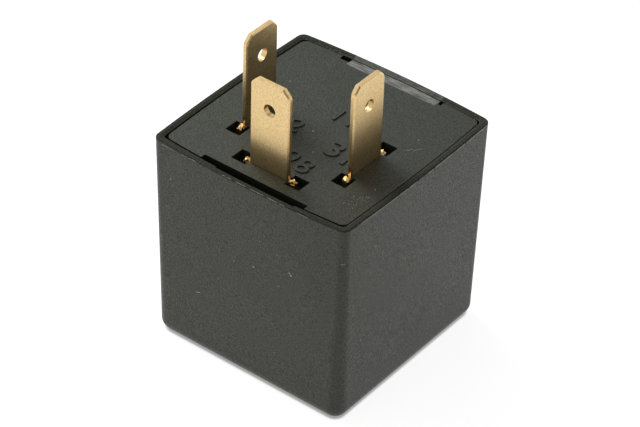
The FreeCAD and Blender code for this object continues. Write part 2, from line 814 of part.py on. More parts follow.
def flat_pins():
    """Middle and half sizes of all flat legs that pass through the board."""
    half_tail = s.tail_width / 2
    half_blade = s.blade_thickness / 2
    half_strip = s.strip_thickness / 2
    pins = []
    for name, x, y, turned, shift in blade_places():
        across = (x, y + shift, half_blade, half_tail)
        pins.append(across if turned else (x + shift, y, half_tail, half_blade))
    for x, y in chip_leg_places():
        pins.append((x, y, s.chip_leg_thickness / 2, s.chip_leg_width / 2))
    for side in (-1, 1):
        pins.append((s.relay_x + s.pin_spread * side, pin_y, s.pin_size / 2, s.pin_size / 2))
        pins.append((shunt_x + s.shunt_span / 2 * side, shunt_y, half_strip, s.shunt_width / 2))
    pins.append((s.relay_x, bracket_y - half_strip, s.bracket_width / 2, half_strip))
    pins.append((s.relay_x, stop_y - half_strip, s.stop_width / 2, half_strip))
    return pins


def make_board():
    body = new_body("circuit_board")
    half_x = board_half_x
    half_y = board_half_y
    cut = s.board_corner_cut
    corners = [(half_x, half_y - cut), (half_x - cut, half_y), (cut - half_x, half_y),
               (-half_x, half_y - cut), (-half_x, cut - half_y), (cut - half_x, -half_y),
               (half_x - cut, -half_y), (half_x, cut - half_y)]
    outline = new_sketch(body, "XY_Plane", board_bottom)
    add_polygon(outline, corners)
    pad(body, outline, s.board_thickness)
    holes = new_sketch(body, "XY_Plane", board_top)
    for x, y in round_pins():
        add_circle(holes, x, y, s.lead_radius + s.hole_play)
    for x, y in POST_PLACES:
        add_circle(holes, x, y, s.peg_radius + s.hole_play)
    pocket(body, holes, s.board_thickness)
    slots = new_sketch(body, "XY_Plane", board_top)
    for x, y, half_pin_x, half_pin_y in flat_pins():
        add_centred_rectangle(slots, x, y, half_pin_x + s.hole_play, half_pin_y + s.hole_play)
    pocket(body, slots, s.board_thickness)
    place(body, s.base_shift, 0, 0)
    return body


def make_solder():
    """A tapered collar of solder round each leg, on the board's top."""
    body = new_body("solder_joints")
    body.AllowCompound = True
    collars = new_sketch(body, "XY_Plane", board_top)
    bores = new_sketch(body, "XY_Plane", board_top)
    for x, y in round_pins():
        add_circle(collars, x, y, s.lead_radius + s.solder_margin)
        add_circle(bores, x, y, s.lead_radius)
    for x, y, half_x, half_y in flat_pins():
        add_centred_rectangle(collars, x, y, half_x + s.solder_margin, half_y + s.solder_margin)
        add_centred_rectangle(bores, x, y, half_x, half_y)
    pad(body, collars, s.solder_height)
    dress_edges(body, "Chamfer", s.solder_bevel, at_level(board_top + s.solder_height))
    pocket(body, bores, s.solder_height, reverse=True)
    place(body, s.base_shift, 0, 0)
    return body


def make_yoke():
    """A bent iron bracket: the foot lies on the board, the leg ends at the armature."""
    body = new_body("yoke")
    outline = new_sketch(body, "YZ_Plane")
    corners = [(yoke_foot_y, board_bottom), (yoke_foot_y, core_shoulder), (yoke_inner_y, core_shoulder),
               (yoke_inner_y, yoke_end), (yoke_outer_y, yoke_end), (yoke_outer_y, board_bottom)]
    add_polygon(outline, corners)
    pad(body, outline, s.yoke_width, both_ways=True)
    dress_edges(body, "Fillet", s.yoke_bend_radius + s.yoke_thickness,
                along_x_at(yoke_outer_y, board_bottom))
    dress_edges(body, "Fillet", s.yoke_bend_radius, along_x_at(yoke_inner_y, core_shoulder))
    core_hole = new_sketch(body, "XY_Plane", board_bottom)
    add_circle(core_hole, 0, s.core_y, s.spigot_radius + s.fit_play)
    pocket(body, core_hole, s.yoke_thickness)
    rivet_holes = new_sketch(body, "XZ_Plane", -yoke_inner_y)
    for x in (s.rivet_spread, -s.rivet_spread):
        add_circle(rivet_holes, x, yoke_end + s.yoke_rivet_rise, s.rivet_radius + s.fit_play)
    pocket(body, rivet_holes, s.yoke_thickness)
    place(body, s.base_shift + s.relay_x, 0, 0)
    return body


def make_core():
    body = new_body("core")
    pole_face = yoke_end
    pole_back = pole_face + s.pole_thickness
    spigot_top = board_bottom - s.fit_play
    outline = [(0, pole_face), (s.pole_radius, pole_face), (s.pole_radius, pole_back),
               (s.core_radius, pole_back), (s.core_radius, core_shoulder),
               (s.spigot_radius, core_shoulder), (s.spigot_radius, spigot_top), (0, spigot_top)]
    revolve(body, outline)
    place(body, s.base_shift + s.relay_x, s.core_y, 0)
    return body


def make_bobbin():
    """A moulded bobbin: tube, two flanges, and a block that holds the coil's pins."""
    body = new_body("bobbin")
    half_x = s.flange_width / 2
    half_y = s.flange_depth / 2
    for level in (flange_bottom, winding_top):
        flange = new_sketch(body, "XY_Plane", level)
        add_rectangle(flange, -half_x, half_x, -half_y, half_y)
        pad(body, flange, s.flange_thickness)
        if level is flange_bottom:
            tube = new_sketch(body, "XY_Plane", winding_bottom)
            add_circle(tube, 0, 0, s.core_radius + s.fit_play + s.bobbin_wall)
            pad(body, tube, s.winding_height)
    block = new_sketch(body, "XY_Plane", flange_top)
    block_back = yoke_foot_y - s.core_y - s.flange_to_yoke
    add_rectangle(block, -half_x, half_x, -half_y, block_back)
    pad(body, block, s.yoke_thickness)
    bore = new_sketch(body, "XY_Plane", flange_top)
    add_circle(bore, 0, 0, s.core_radius + s.fit_play)
    pocket(body, bore)
    pin_holes = new_sketch(body, "XY_Plane", board_bottom)
    half_pin = s.pin_size / 2
    for x in (s.pin_spread, -s.pin_spread):
        add_centred_rectangle(pin_holes, x, pin_y - s.core_y, half_pin, half_pin)
    pocket(body, pin_holes, s.yoke_thickness + s.flange_thickness)
    place(body, s.base_shift + s.relay_x, s.core_y, 0)
    return body


def make_winding():
    body = new_body("coil_winding")
    inner = s.core_radius + s.fit_play + s.bobbin_wall
    low = winding_bottom + s.fit_play
    high = winding_top - s.fit_play
    crown = s.winding_crown
    outline = [(inner + s.fit_play, low), (s.winding_radius - crown, low),
               (s.winding_radius, low + 2 * crown), (s.winding_radius, high - 2 * crown),
               (s.winding_radius - crown, high), (inner + s.fit_play, high)]
    revolve(body, outline)
    place(body, s.base_shift + s.relay_x, s.core_y, 0)
    return body


def make_coil_pins():
    body = new_body("coil_pins")
    body.AllowCompound = True
    sketch = new_sketch(body, "XY_Plane", winding_top - s.pin_stub)
    for x in (s.pin_spread, -s.pin_spread):
        add_centred_rectangle(sketch, x, pin_y, s.pin_size / 2, s.pin_size / 2)
    pad(body, sketch, pin_top - winding_top + s.pin_stub)
    place(body, s.base_shift + s.relay_x, 0, 0)
    return body


def place_on_hinge(body):
    """Put a piece modelled about the hinge line in its open, resting attitude."""
    open_turn = FreeCAD.Rotation(FreeCAD.Vector(1, 0, 0), number(s.open_angle))
    body.Placement = FreeCAD.Placement(FreeCAD.Vector(0, 0, 0), open_turn)
    bind(body, "Placement.Rotation.Angle", s.open_angle)
    place(body, s.base_shift + s.relay_x, hinge_y, hinge_z)


def make_armature():
    body = new_body("armature")
    outline = new_sketch(body, "YZ_Plane")
    nose = s.armature_nose
    corners = [(0, 0), (-armature_length, 0), (-armature_length, nose - s.armature_thickness),
               (nose - armature_length, -s.armature_thickness), (0, -s.armature_thickness)]
    add_polygon(outline, corners)
    pad(body, outline, s.armature_width, both_ways=True)
    holes = new_sketch(body, "XY_Plane")
    for x in (s.rivet_spread, -s.rivet_spread):
        add_circle(holes, x, -s.armature_rivet_reach, s.rivet_radius + s.fit_play)
    pocket(body, holes, s.armature_thickness)
    place_on_hinge(body)
    return body


def make_hinge_spring():
    """A bronze leaf: riveted to the yoke, bent under the armature, and on to the contact."""
    body = new_body("hinge_spring")

    def leaf_level(y, depth):
        return hinge_z + (y - hinge_y) * open_slope - depth / open_cosine

    top_face = s.armature_thickness
    low_face = s.armature_thickness + s.spring_thickness
    outer_y = yoke_outer_y + s.spring_thickness
    leaf_top = yoke_end + s.spring_rise
    inner_corner = (yoke_outer_y, leaf_level(yoke_outer_y, top_face))
    outer_corner = (outer_y, leaf_level(outer_y, low_face))
    outline = new_sketch(body, "YZ_Plane")
    corners = [(yoke_outer_y, leaf_top), (outer_y, leaf_top), outer_corner,
               (spring_tip_y, leaf_level(spring_tip_y, low_face)),
               (spring_tip_y, leaf_level(spring_tip_y, top_face)), inner_corner]
    add_polygon(outline, corners)
    pad(body, outline, s.spring_width, both_ways=True)
    dress_edges(body, "Fillet", s.spring_bend_radius, along_x_at(*inner_corner))
    dress_edges(body, "Fillet", s.spring_bend_radius + s.spring_thickness, along_x_at(*outer_corner))
    trim_spring_arm(body)
    place(body, s.base_shift + s.relay_x, 0, 0)
    return body


def leaf_y(reach):
    """Where a shank that far from the hinge line passes through the middle of the open leaf."""
    return hinge_y - reach * open_cosine + leaf_middle * open_sine


def trim_spring_arm(body):
    """Narrow the arm past the armature, and cut the rivet and contact holes."""
    arm_start = hinge_y - armature_length
    half = s.spring_width / 2
    arm_half = s.spring_arm_width / 2
    sides = new_sketch(body, "XY_Plane")
    for low, high in ((arm_half, half), (-half, -arm_half)):
        add_rectangle(sides, low, high, spring_tip_y, arm_start)
    pocket(body, sides)
    holes = new_sketch(body, "XY_Plane")
    add_circle(holes, 0, leaf_y(contact_reach), s.contact_shank_radius + s.fit_play)
    for x in (s.rivet_spread, -s.rivet_spread):
        add_circle(holes, x, leaf_y(s.armature_rivet_reach), s.rivet_radius + s.fit_play)
    pocket(body, holes)
    yoke_holes = new_sketch(body, "XZ_Plane", -yoke_outer_y)
    for x in (s.rivet_spread, -s.rivet_spread):
        add_circle(yoke_holes, x, yoke_end + s.yoke_rivet_rise, s.rivet_radius + s.fit_play)
    pocket(body, yoke_holes, s.spring_thickness)


def rivet_outline(shank_length):
    """Head below, shank up; the head's underside seats at zero height."""
    head = s.rivet_head_radius
    low = -s.rivet_head_height
    return [(0, low), (s.rivet_crown_radius, low), (head, -s.rivet_edge_height), (head, 0),
            (s.rivet_radius, 0), (s.rivet_radius, shank_length), (0, shank_length)]


def make_rivet(label, shank_length):
    source = new_body(label + "_one")
    revolve(source, rivet_outline(shank_length))
    return source


def make_armature_rivets():
    shank = s.armature_thickness + s.spring_thickness - s.fit_play
    source = make_rivet("armature_rivet", shank)
    seat = s.armature_thickness + s.spring_thickness
    copies = [placed_copy(source, f"armature_rivet_{index}", s.rivet_spread * side,
                          -s.armature_rivet_reach, -seat) for index, side in enumerate((-1, 1))]
    pair = group("armature_rivets", copies)
    place_on_hinge(pair)
    return pair


def make_yoke_rivets():
    shank = s.yoke_thickness + s.spring_thickness - s.fit_play
    source = make_rivet("yoke_rivet", shank)
    seat_y = yoke_outer_y + s.spring_thickness
    level = yoke_end + s.yoke_rivet_rise
    copies = []
    for index, side in enumerate((-1, 1)):
        spot = (s.rivet_spread * side, seat_y, level)
        copies.append(placed_copy(source, f"yoke_rivet_{index}", *spot, quarter_turn(1, 0, 0)))
    pair = group("yoke_rivets", copies)
    place(pair, s.base_shift + s.relay_x, 0, 0)
    return pair


def make_moving_contact():
    body = new_body("moving_contact")
    seat = -s.armature_thickness
    leaf_low = seat - s.spring_thickness
    upset = s.contact_upset_radius
    shank = s.contact_shank_radius
    head = s.contact_radius
    crown = seat + s.contact_height
    outline = [(0, leaf_low - s.contact_upset_height), (upset, leaf_low - s.contact_upset_height),
               (upset, leaf_low), (shank, leaf_low), (shank, seat), (head, seat),
               (head, crown - s.contact_bevel), (s.contact_face_radius, crown), (0, crown)]
    revolve(body, outline)
    place_on_hinge(body)
    bind(body, "Placement.Base.y", hinge_y - contact_reach * open_cosine)
    bind(body, "Placement.Base.z", hinge_z - contact_reach * open_sine)
    return body


def make_fixed_contact():
    body = new_body("fixed_contact")
    shank_top = bracket_level + s.strip_thickness
    upset_top = shank_top + s.contact_upset_height
    head = s.contact_radius
    shank = s.contact_shank_radius
    outline = [(0, fixed_face_z), (s.contact_face_radius, fixed_face_z),
               (head, fixed_face_z + s.contact_bevel), (head, bracket_level),
               (shank, bracket_level), (shank, shank_top), (s.contact_upset_radius, shank_top),
               (s.contact_upset_radius, upset_top), (0, upset_top)]
    revolve(body, outline)
    place(body, s.base_shift + s.relay_x, contact_y, 0)
    return body


def make_strip(label, inner_y, level, end_y, width):
    """A flat strip down from the board, bent in under it at one level."""
    body = new_body(label)
    outer_y = inner_y - s.strip_thickness
    top = level + s.strip_thickness
    outline = new_sketch(body, "YZ_Plane")
    add_polygon(outline, [(outer_y, pin_top), (outer_y, level), (end_y, level), (end_y, top),
                          (inner_y, top), (inner_y, pin_top)])
    pad(body, outline, width, both_ways=True)
    dress_edges(body, "Fillet", s.strip_bend_radius, along_x_at(inner_y, top))
    dress_edges(body, "Fillet", s.strip_bend_radius + s.strip_thickness, along_x_at(outer_y, level))
    return body


def make_contact_bracket():
    end_y = contact_y + s.bracket_lap
    body = make_strip("contact_bracket", bracket_y, bracket_level, end_y, s.bracket_width)
    hole = new_sketch(body, "XY_Plane", bracket_level + s.strip_thickness)
    add_circle(hole, 0, contact_y, s.contact_shank_radius + s.fit_play)
    pocket(body, hole, s.strip_thickness)
    place(body, s.base_shift + s.relay_x, 0, 0)
    return body


def make_back_stop():
    depth = (s.armature_thickness + s.spring_thickness) / open_cosine
    tip_level = hinge_z - spring_reach * open_slope - depth
    level = tip_level - s.stop_gap - s.strip_thickness
    body = make_strip("back_stop", stop_y, level, spring_tip_y + s.stop_lap, s.stop_width)
    place(body, s.base_shift + s.relay_x, 0, 0)
    return body


def make_chip():
    body = new_body("flasher_chip")
    top = board_bottom - s.chip_standoff
    outline = new_sketch(body, "XY_Plane", top - s.chip_thickness)
    half_x = s.chip_width / 2
    half_y = s.chip_length / 2
    add_rectangle(outline, -half_x, half_x, -half_y, half_y)
    pad(body, outline, s.chip_thickness)

    def top_or_bottom(edge):
        box = edge.BoundBox
        level = box.ZLength < NEARNESS
        return level and (near(box.ZMin, top) or near(box.ZMin, top - s.chip_thickness))

    dress_edges(body, "Chamfer", s.chip_edge, top_or_bottom)
    notch = new_sketch(body, "XY_Plane", top - s.chip_thickness)
    add_circle(notch, 0, half_y, s.chip_notch_radius)
    pocket(body, notch, s.chip_notch_depth, reverse=True)
    place(body, s.base_shift + chip_x, chip_y, 0)
    return body


def make_chip_legs():
    """Eight bent legs: out of the body's side, then up through the board."""
    body = new_body("chip_legs")
    body.AllowCompound = True
    shoulder = board_bottom - s.chip_standoff - s.chip_thickness / 2
    half = s.chip_leg_thickness / 2
    reach = s.chip_leg_span / 2
    for side in (1, -1):
        for step in CHIP_LEG_STEPS:
            outline = new_sketch(body, "XZ_Plane", s.chip_leg_pitch * step)
            corners = [(s.chip_width / 2, shoulder - half), (reach + half, shoulder - half),
                       (reach + half, pin_top), (reach - half, pin_top),
                       (reach - half, shoulder + half), (s.chip_width / 2, shoulder + half)]
            add_polygon(outline, [(x * side, z) for x, z in corners])
            pad(body, outline, s.chip_leg_width, both_ways=True)
    place(body, s.base_shift + chip_x, chip_y, 0)
    return body


def make_capacitor_can():
    """A deep-drawn can, open towards the board, with a groove that grips its seal."""
    body = new_body("capacitor_can")
    open_end = board_bottom - s.can_standoff
    closed_end = open_end - s.can_length
    outer = s.can_radius
    inner = outer - s.can_wall
    groove_z = open_end - s.seal_height / 2
    groove = s.can_groove
    outline = [(0, closed_end), (outer - groove, closed_end), (outer, closed_end + groove),
               (outer, groove_z - groove), (outer - groove, groove_z), (outer, groove_z + groove),
               (outer, open_end), (inner, open_end), (inner, groove_z + groove),
               (inner - groove, groove_z), (inner, groove_z - groove),
               (inner, closed_end + s.can_wall), (0, closed_end + s.can_wall)]
    revolve(body, outline)
    place(body, s.base_shift + can_x, can_y, 0)
    return body


def make_capacitor_seal():
    """The rubber bung in the can's mouth, waisted where the groove grips it."""
    body = new_body("capacitor_seal")
    open_end = board_bottom - s.can_standoff
    inner = s.can_radius - s.can_wall
    groove_z = open_end - s.seal_height / 2
    top = open_end - s.fit_play
    low = open_end - s.seal_height
    waist = inner - s.can_groove
    outline = [(0, low), (inner, low), (inner, groove_z - s.can_groove), (waist, groove_z),
               (inner, groove_z + s.can_groove), (inner, top), (0, top)]
    revolve(body, outline)
    place(body, s.base_shift + can_x, can_y, 0)
    return body


def make_capacitor_leads():
    body = new_body("capacitor_leads")
    body.AllowCompound = True
    start = board_bottom - s.can_standoff - s.fit_play
    sketch = new_sketch(body, "XY_Plane", start)
    for x in (s.can_lead_spread, -s.can_lead_spread):
        add_circle(sketch, x, 0, s.lead_radius)
    pad(body, sketch, pin_top - start)
    place(body, s.base_shift + can_x, can_y, 0)
    return body


def make_lead_pair(label, body_length, body_radius):
    """Two wires: out of each end of a lying component, bent up through the board."""
    body = new_body(label)
    body.AllowCompound = True
    level = board_bottom - s.component_standoff - body_radius
    reach = body_length / 2 + s.lead_overhang
    for side in (1, -1):
        path = new_sketch(body, "XZ_Plane")
        add_lead_path(path, body_length / 2, reach, level, side)
        section = new_sketch(body, "YZ_Plane", body_length / 2 * side)
        add_circle(section, 0, level, s.lead_radius)
        pipe = body.newObject("PartDesign::AdditivePipe", label + "_wire")
        pipe.Profile = section
        pipe.Spine = (path, [])
    return body


def add_lead_path(sketch, start, reach, level, side):
    """A straight run, a quarter bend and a straight rise."""
    bend = s.lead_bend_radius
    points = [(start, level), (reach - bend, level), (reach, level + bend), (reach, pin_top)]
    places = [(x * side, z) for x, z in points]
    vectors = [FreeCAD.Vector(number(x), number(z), 0) for x, z in places]
    sketch.addGeometry(Part.LineSegment(vectors[0], vectors[1]), False)
    centre = FreeCAD.Vector(vectors[1].x, vectors[2].y, 0)
    circle = Part.Circle(centre, FreeCAD.Vector(0, 0, 1), number(bend))
    first_angle = -math.pi / 2 if side > 0 else math.pi
    sketch.addGeometry(Part.ArcOfCircle(circle, first_angle, first_angle + math.pi / 2), False)
    sketch.addGeometry(Part.LineSegment(vectors[2], vectors[3]), False)
    arc_start, arc_end = (1, 2) if side > 0 else (2, 1)
    sketch.addConstraint([Sketcher.Constraint("Tangent", 0, 2, 1, arc_start),
                          Sketcher.Constraint("Tangent", 1, arc_end, 2, 1),
                          Sketcher.Constraint("Horizontal", 0),
                          Sketcher.Constraint("Vertical", 2)])
    hold_point(sketch, 0, 1, *places[0])
    hold_point(sketch, 2, 2, *places[3])
    hold_size(sketch, Sketcher.Constraint("Radius", 1, number(bend)), "bend_radius", bend)


def make_turned_body(label, length, radius, waist_outline):
    """A small component lying along X: bevelled ends, and what lies between them."""
    body = new_body(label)
    half = length / 2
    edge = s.component_edge
    outline = [(0, -half), (radius - edge, -half), (radius, edge - half)]
    outline += waist_outline
    outline += [(radius, half - edge), (radius - edge, half), (0, half)]
    revolve(body, outline)
    body.Placement = FreeCAD.Placement(FreeCAD.Vector(0, 0, 0), quarter_turn(0, 1, 0))
    place(body, 0, 0, board_bottom - s.component_standoff - radius)
    return body


def make_lying_component(label, places, length, radius, waist_outline):
    """Bodies and leads of all components of one kind, each as one list."""
    one_body = make_turned_body(label + "_one", length, radius, waist_outline)
    one_lead_pair = make_lead_pair(label + "_leads_one", length, radius)
    bodies = []
    leads = []
    for index, (x, y) in enumerate(places):
        spot = (s.base_shift + x, y, 0, quarter_turn(0, 0, 1))
        bodies.append(placed_copy(one_body, f"{label}_{index}", *spot))
        leads.append(placed_copy(one_lead_pair, f"{label}_leads_{index}", *spot))
    return bodies, leads


def make_resistors():
    """Moulded bodies with a cap at each end and a waist between the caps."""
    radius = s.resistor_radius
    waist = s.resistor_waist
    cap_end = s.resistor_length / 2 - s.resistor_cap
    neck_end = cap_end - s.resistor_neck
    waist_outline = [(radius, -cap_end), (waist, -neck_end), (waist, neck_end), (radius, cap_end)]
    bodies, leads = make_lying_component("resistor", RESISTOR_PLACES, s.resistor_length,
                                         radius, waist_outline)
    return [group("resistors", bodies), group("resistor_leads", leads)]


def make_diode():
    bodies, leads = make_lying_component("diode_body", DIODE_PLACES, s.diode_length,
                                         s.diode_radius, [])
    return [group("diode", bodies), group("diode_leads", leads)]


def make_shunt():
    """A bronze strip bent into a U, which senses the lamp current."""
    body = new_body("shunt_strip")
    half = s.shunt_span / 2
    outer = half + s.strip_thickness / 2
    inner = half - s.strip_thickness / 2
    low = board_bottom - s.shunt_drop
    high = low + s.strip_thickness
    outline = new_sketch(body, "XZ_Plane")
    add_polygon(outline, [(-outer, pin_top), (-outer, low), (outer, low), (outer, pin_top),
                          (inner, pin_top), (inner, high), (-inner, high), (-inner, pin_top)])
    pad(body, outline, s.shunt_width, both_ways=True)

    def lower_corner(edge):
        box = edge.BoundBox
        return box.XLength < NEARNESS and box.ZLength < NEARNESS and near(box.ZMin, low)

    dress_edges(body, "Fillet", s.strip_bend_radius + s.strip_thickness, lower_corner)
    place(body, s.base_shift + shunt_x, shunt_y, 0)
    return body


def check(thing):
    """Note a piece that failed, is empty or is not a valid shape."""
    shape = thing.Shape
    if any(word in thing.State for word in ("Invalid", "Error")):
        failures.append(f"{thing.Label}: {thing.State}")
    elif shape.isNull() or not shape.isValid() or not shape.Solids:
        failures.append(f"{thing.Label}: no valid solid")


def main():
    pieces = [make_cover(), make_base()]
    pieces += [make_terminal(blade) for blade in blade_places()]
    pieces += [make_board(), make_solder()]
    pieces += [make_yoke(), make_core(), make_bobbin(), make_winding(), make_coil_pins()]
    pieces += [make_armature(), make_hinge_spring(), make_armature_rivets(), make_moving_contact()]
    pieces += [make_yoke_rivets(), make_contact_bracket(), make_fixed_contact(), make_back_stop()]
    pieces += [make_chip(), make_chip_legs()]
    pieces += [make_capacitor_can(), make_capacitor_seal(), make_capacitor_leads()]
    pieces += make_resistors()
    pieces += make_diode()
    pieces.append(make_shunt())
    doc.recompute()
    for thing in doc.Objects:
        if any(word in thing.State for word in ("Invalid", "Error")):
            failures.append(f"{thing.Label}: {thing.State}")
    for piece in pieces:
        check(piece)
    if failures:
        raise RuntimeError("; ".join(failures))
    os.makedirs("parts", exist_ok=True)
    for piece in pieces:
        piece.Shape.exportStep(f"parts/{piece.Label}.step")
        print(piece.Label, len(piece.Shape.Solids), round(piece.Shape.Volume, 2))


main()
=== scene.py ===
"""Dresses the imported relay: materials, fine detail, and a plain white studio.

Places and sizes are in millimetres here and are scaled to metres as a mesh is made. The studio's
are in metres.
"""
import json
import math
import random

import bmesh
import bpy
from mathutils import Matrix, Vector


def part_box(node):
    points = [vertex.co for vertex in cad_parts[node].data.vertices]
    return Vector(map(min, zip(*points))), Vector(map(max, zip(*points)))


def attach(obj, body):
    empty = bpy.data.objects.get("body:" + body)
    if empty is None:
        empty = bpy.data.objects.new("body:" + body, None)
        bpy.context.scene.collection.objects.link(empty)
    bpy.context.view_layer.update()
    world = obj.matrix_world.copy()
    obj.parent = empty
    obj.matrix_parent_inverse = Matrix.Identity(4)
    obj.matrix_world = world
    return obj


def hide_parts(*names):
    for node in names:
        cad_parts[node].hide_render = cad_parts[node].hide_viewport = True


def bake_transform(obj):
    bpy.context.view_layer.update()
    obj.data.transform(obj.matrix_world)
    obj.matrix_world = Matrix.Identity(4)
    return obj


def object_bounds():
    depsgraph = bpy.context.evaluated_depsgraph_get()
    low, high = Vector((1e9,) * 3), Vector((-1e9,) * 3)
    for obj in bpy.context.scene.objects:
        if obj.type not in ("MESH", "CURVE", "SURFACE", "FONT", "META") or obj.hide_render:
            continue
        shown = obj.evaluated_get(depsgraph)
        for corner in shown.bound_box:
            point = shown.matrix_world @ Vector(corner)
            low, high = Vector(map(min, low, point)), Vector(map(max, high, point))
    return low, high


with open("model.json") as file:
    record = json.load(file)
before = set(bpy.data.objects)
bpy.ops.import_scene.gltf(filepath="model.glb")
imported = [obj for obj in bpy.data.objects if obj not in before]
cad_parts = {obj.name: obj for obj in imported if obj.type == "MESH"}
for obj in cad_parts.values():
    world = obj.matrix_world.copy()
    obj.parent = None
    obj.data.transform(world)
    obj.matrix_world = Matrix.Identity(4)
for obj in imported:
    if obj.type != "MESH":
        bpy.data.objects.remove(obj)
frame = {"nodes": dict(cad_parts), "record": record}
cad_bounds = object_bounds()

MM = 0.001

PLATE_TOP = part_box("base")[1].z / MM
BLADES = ("front_terminal", "left_terminal", "right_terminal")
BLADE_WIDTH = 6.3
BLADE_EDGE = 0.07
BLADE_SHARP_ANGLE = 40

# The camera that was fitted to the photograph's edges.
CAMERA_TARGET = (4.091, -5.464, 23.536)
CAMERA_DISTANCE = 389.18
CAMERA_AZIMUTH = 36.964
CAMERA_ELEVATION = 37.912
CAMERA_ROLL = 1.925
LENS_MM = 168.01
SENSOR_MM = 36.0

# Each lobe of the sky: the direction it lies in, the cosines where it starts and is full, its
# least and most light. The last one lights the blades' shoulders.
SKY_LOBES = (
    ((-0.95, -0.3, 0.3), (-0.1, 0.5), (0.15, 0.93)),
    ((0.6, 0.65, 0.46), (0.75, 0.95), (0.0, 0.9)),
    ((0.51, -0.35, 0.78), (0.78, 0.97), (0.0, 0.5)),
)
HORIZON_BAND = (0.1, 0.25)
KEY_PLACE = (-0.75, 0.1, 0.75)
KEY_AIM = (0, 0, 0.02)
KEY_SIZE = 0.5
KEY_POWER = 9.0

FLOOR_HALF = 1.5
PAPER_GREY = 0.8
SEEN_FLOOR_GREY = 0.25
CONTACT_REACH = 0.55
# The painted contact shadow in the floor's glow: how open the sky is next to the can, from and to,
# and the floor's light at each.
PAINTED_CONTACT_SHADE = (0.5, 1.0, 0.3, 0.87)

CAN_SHEEN = (0.97, 1.0, 0.89)
PLATE_SHEEN = (0.95, 1.0, 0.84)
GRAIN_CONTRAST = 0.14
DUST = (0.34, 0.34, 0.32)
# Places with another finish: a box's low and high corner, and how strong it is there.
MATT_RIM = ((-20, -20, 32.12), (20, 20, 33), 0.45)
BACK_LEDGE_SCUFF = ((-6.7, 13.6, 31.9), (8.0, 16.0, 32.5), 0.6)
BACK_RIM_SCUFF = ((-6.7, 15.0, 32.1), (8.0, 16.6, 32.5), 0.3)
BOX_FADE = 0.1

# Name, colour, dull colour, roughness.
BRASSES = (
    ("blade_brass", (0.84, 0.61, 0.32), (0.50, 0.37, 0.15), 0.3),
    ("spring_bronze", (0.74, 0.50, 0.26), (0.55, 0.34, 0.16), 0.3),
)
# Name, colour, dull colour, roughness, grain.
METALS = (
    ("solder", (0.66, 0.67, 0.69), (0.5, 0.5, 0.52), 0.3, 3.0),
    ("iron", (0.55, 0.55, 0.56), (0.45, 0.45, 0.44), 0.4, 4.0),
    ("enamelled_wire", (0.72, 0.33, 0.16), (0.6, 0.24, 0.1), 0.25, 3.0),
    ("tinned_wire", (0.72, 0.72, 0.73), (0.6, 0.6, 0.6), 0.3, 5.0),
    ("contact_silver", (0.82, 0.82, 0.80), (0.7, 0.7, 0.68), 0.3, 5.0),
    ("can_aluminium", (0.75, 0.76, 0.78), (0.68, 0.69, 0.7), 0.3, 3.0),
    ("cut_brass", (0.95, 0.66, 0.30), (0.85, 0.55, 0.22), 0.3, 2.0),
)
# Name, colour, shade, roughness.
POLYMERS = (
    ("board_laminate", (0.36, 0.27, 0.10), (0.28, 0.20, 0.07), 0.35),
    ("bobbin_plastic", (0.80, 0.78, 0.70), (0.72, 0.69, 0.60), 0.5),
    ("chip_plastic", (0.03, 0.03, 0.033), (0.04, 0.04, 0.043), 0.55),
    ("seal_rubber", (0.05, 0.05, 0.05), (0.07, 0.07, 0.07), 0.7),
    ("resistor_coat", (0.62, 0.52, 0.38), (0.55, 0.45, 0.32), 0.35),
    ("diode_coat", (0.03, 0.03, 0.03), (0.045, 0.045, 0.045), 0.4),
    ("dust", DUST, (0.25, 0.25, 0.23), 0.8),
    # The pale flakes of the painted highlight line along the can's edges.
    ("edge_highlight_plastic", (0.38, 0.38, 0.34), (0.2, 0.2, 0.18), 0.7),
    ("brown_band", (0.12, 0.04, 0.01), (0.09, 0.03, 0.01), 0.35),
    ("black_band", (0.01, 0.01, 0.01), (0.02, 0.02, 0.02), 0.35),
    ("red_band", (0.45, 0.02, 0.01), (0.35, 0.02, 0.01), 0.35),
    ("pale_band", (0.6, 0.6, 0.58), (0.5, 0.5, 0.48), 0.4),
)

# The rounding of the can's closed end, which its corner ribs break through up to the lip's top.
CAN_END_FILLET = 1.8
CAN_END_RADIUS = 1.9
CAN_LIP_TOP = 0.9
CAN_SHARP_ANGLE = 25
# The highest point of the flat end, how far a point may stand out of the rounding, how near
# points are joined, and the shortest edge that stays.
FLAT_END = 0.0005
LIP_TOLERANCE = 0.004
MERGE_DISTANCE = 0.02
SLIVER = 0.001

# Piece, digit, place on the plate, height, and width against the font's own.
DIGITS = (
    ("digit_a", "3", 4.1, -2.75, 3.3, 1.15),
    ("digit_b", "1", 6.5, -3.2, 3.3, 1.0),
    ("digit_c", "2", -3.1, -1.8, 2.9, 1.0),
    ("digit_d", "9", 0.7, -7.6, 3.1, 1.0),
    ("digit_e", "8", 3.2, -8.1, 3.1, 1.1),
    ("digit_f", "1", -0.2, 3.5, 2.6, 0.9),
    ("digit_g", "1", 2.0, 3.5, 2.6, 0.9),
)
FONT_SIZE_PER_HEIGHT = 1.37
DIGIT_HALF_THICKNESS = 0.08
DIGIT_EDGE = 0.04
DIGIT_MIDDLE = 0.05

# Burrs of staked brass: across the blade, along it, and high.
LUMP_SIZE = (0.95, 1.1, 1.0)
LUMP_GAP = 0.5
LUMP_DEPTH = 0.35
LUMP_RAGGEDNESS = 0.3
LUMP_SEED = 5

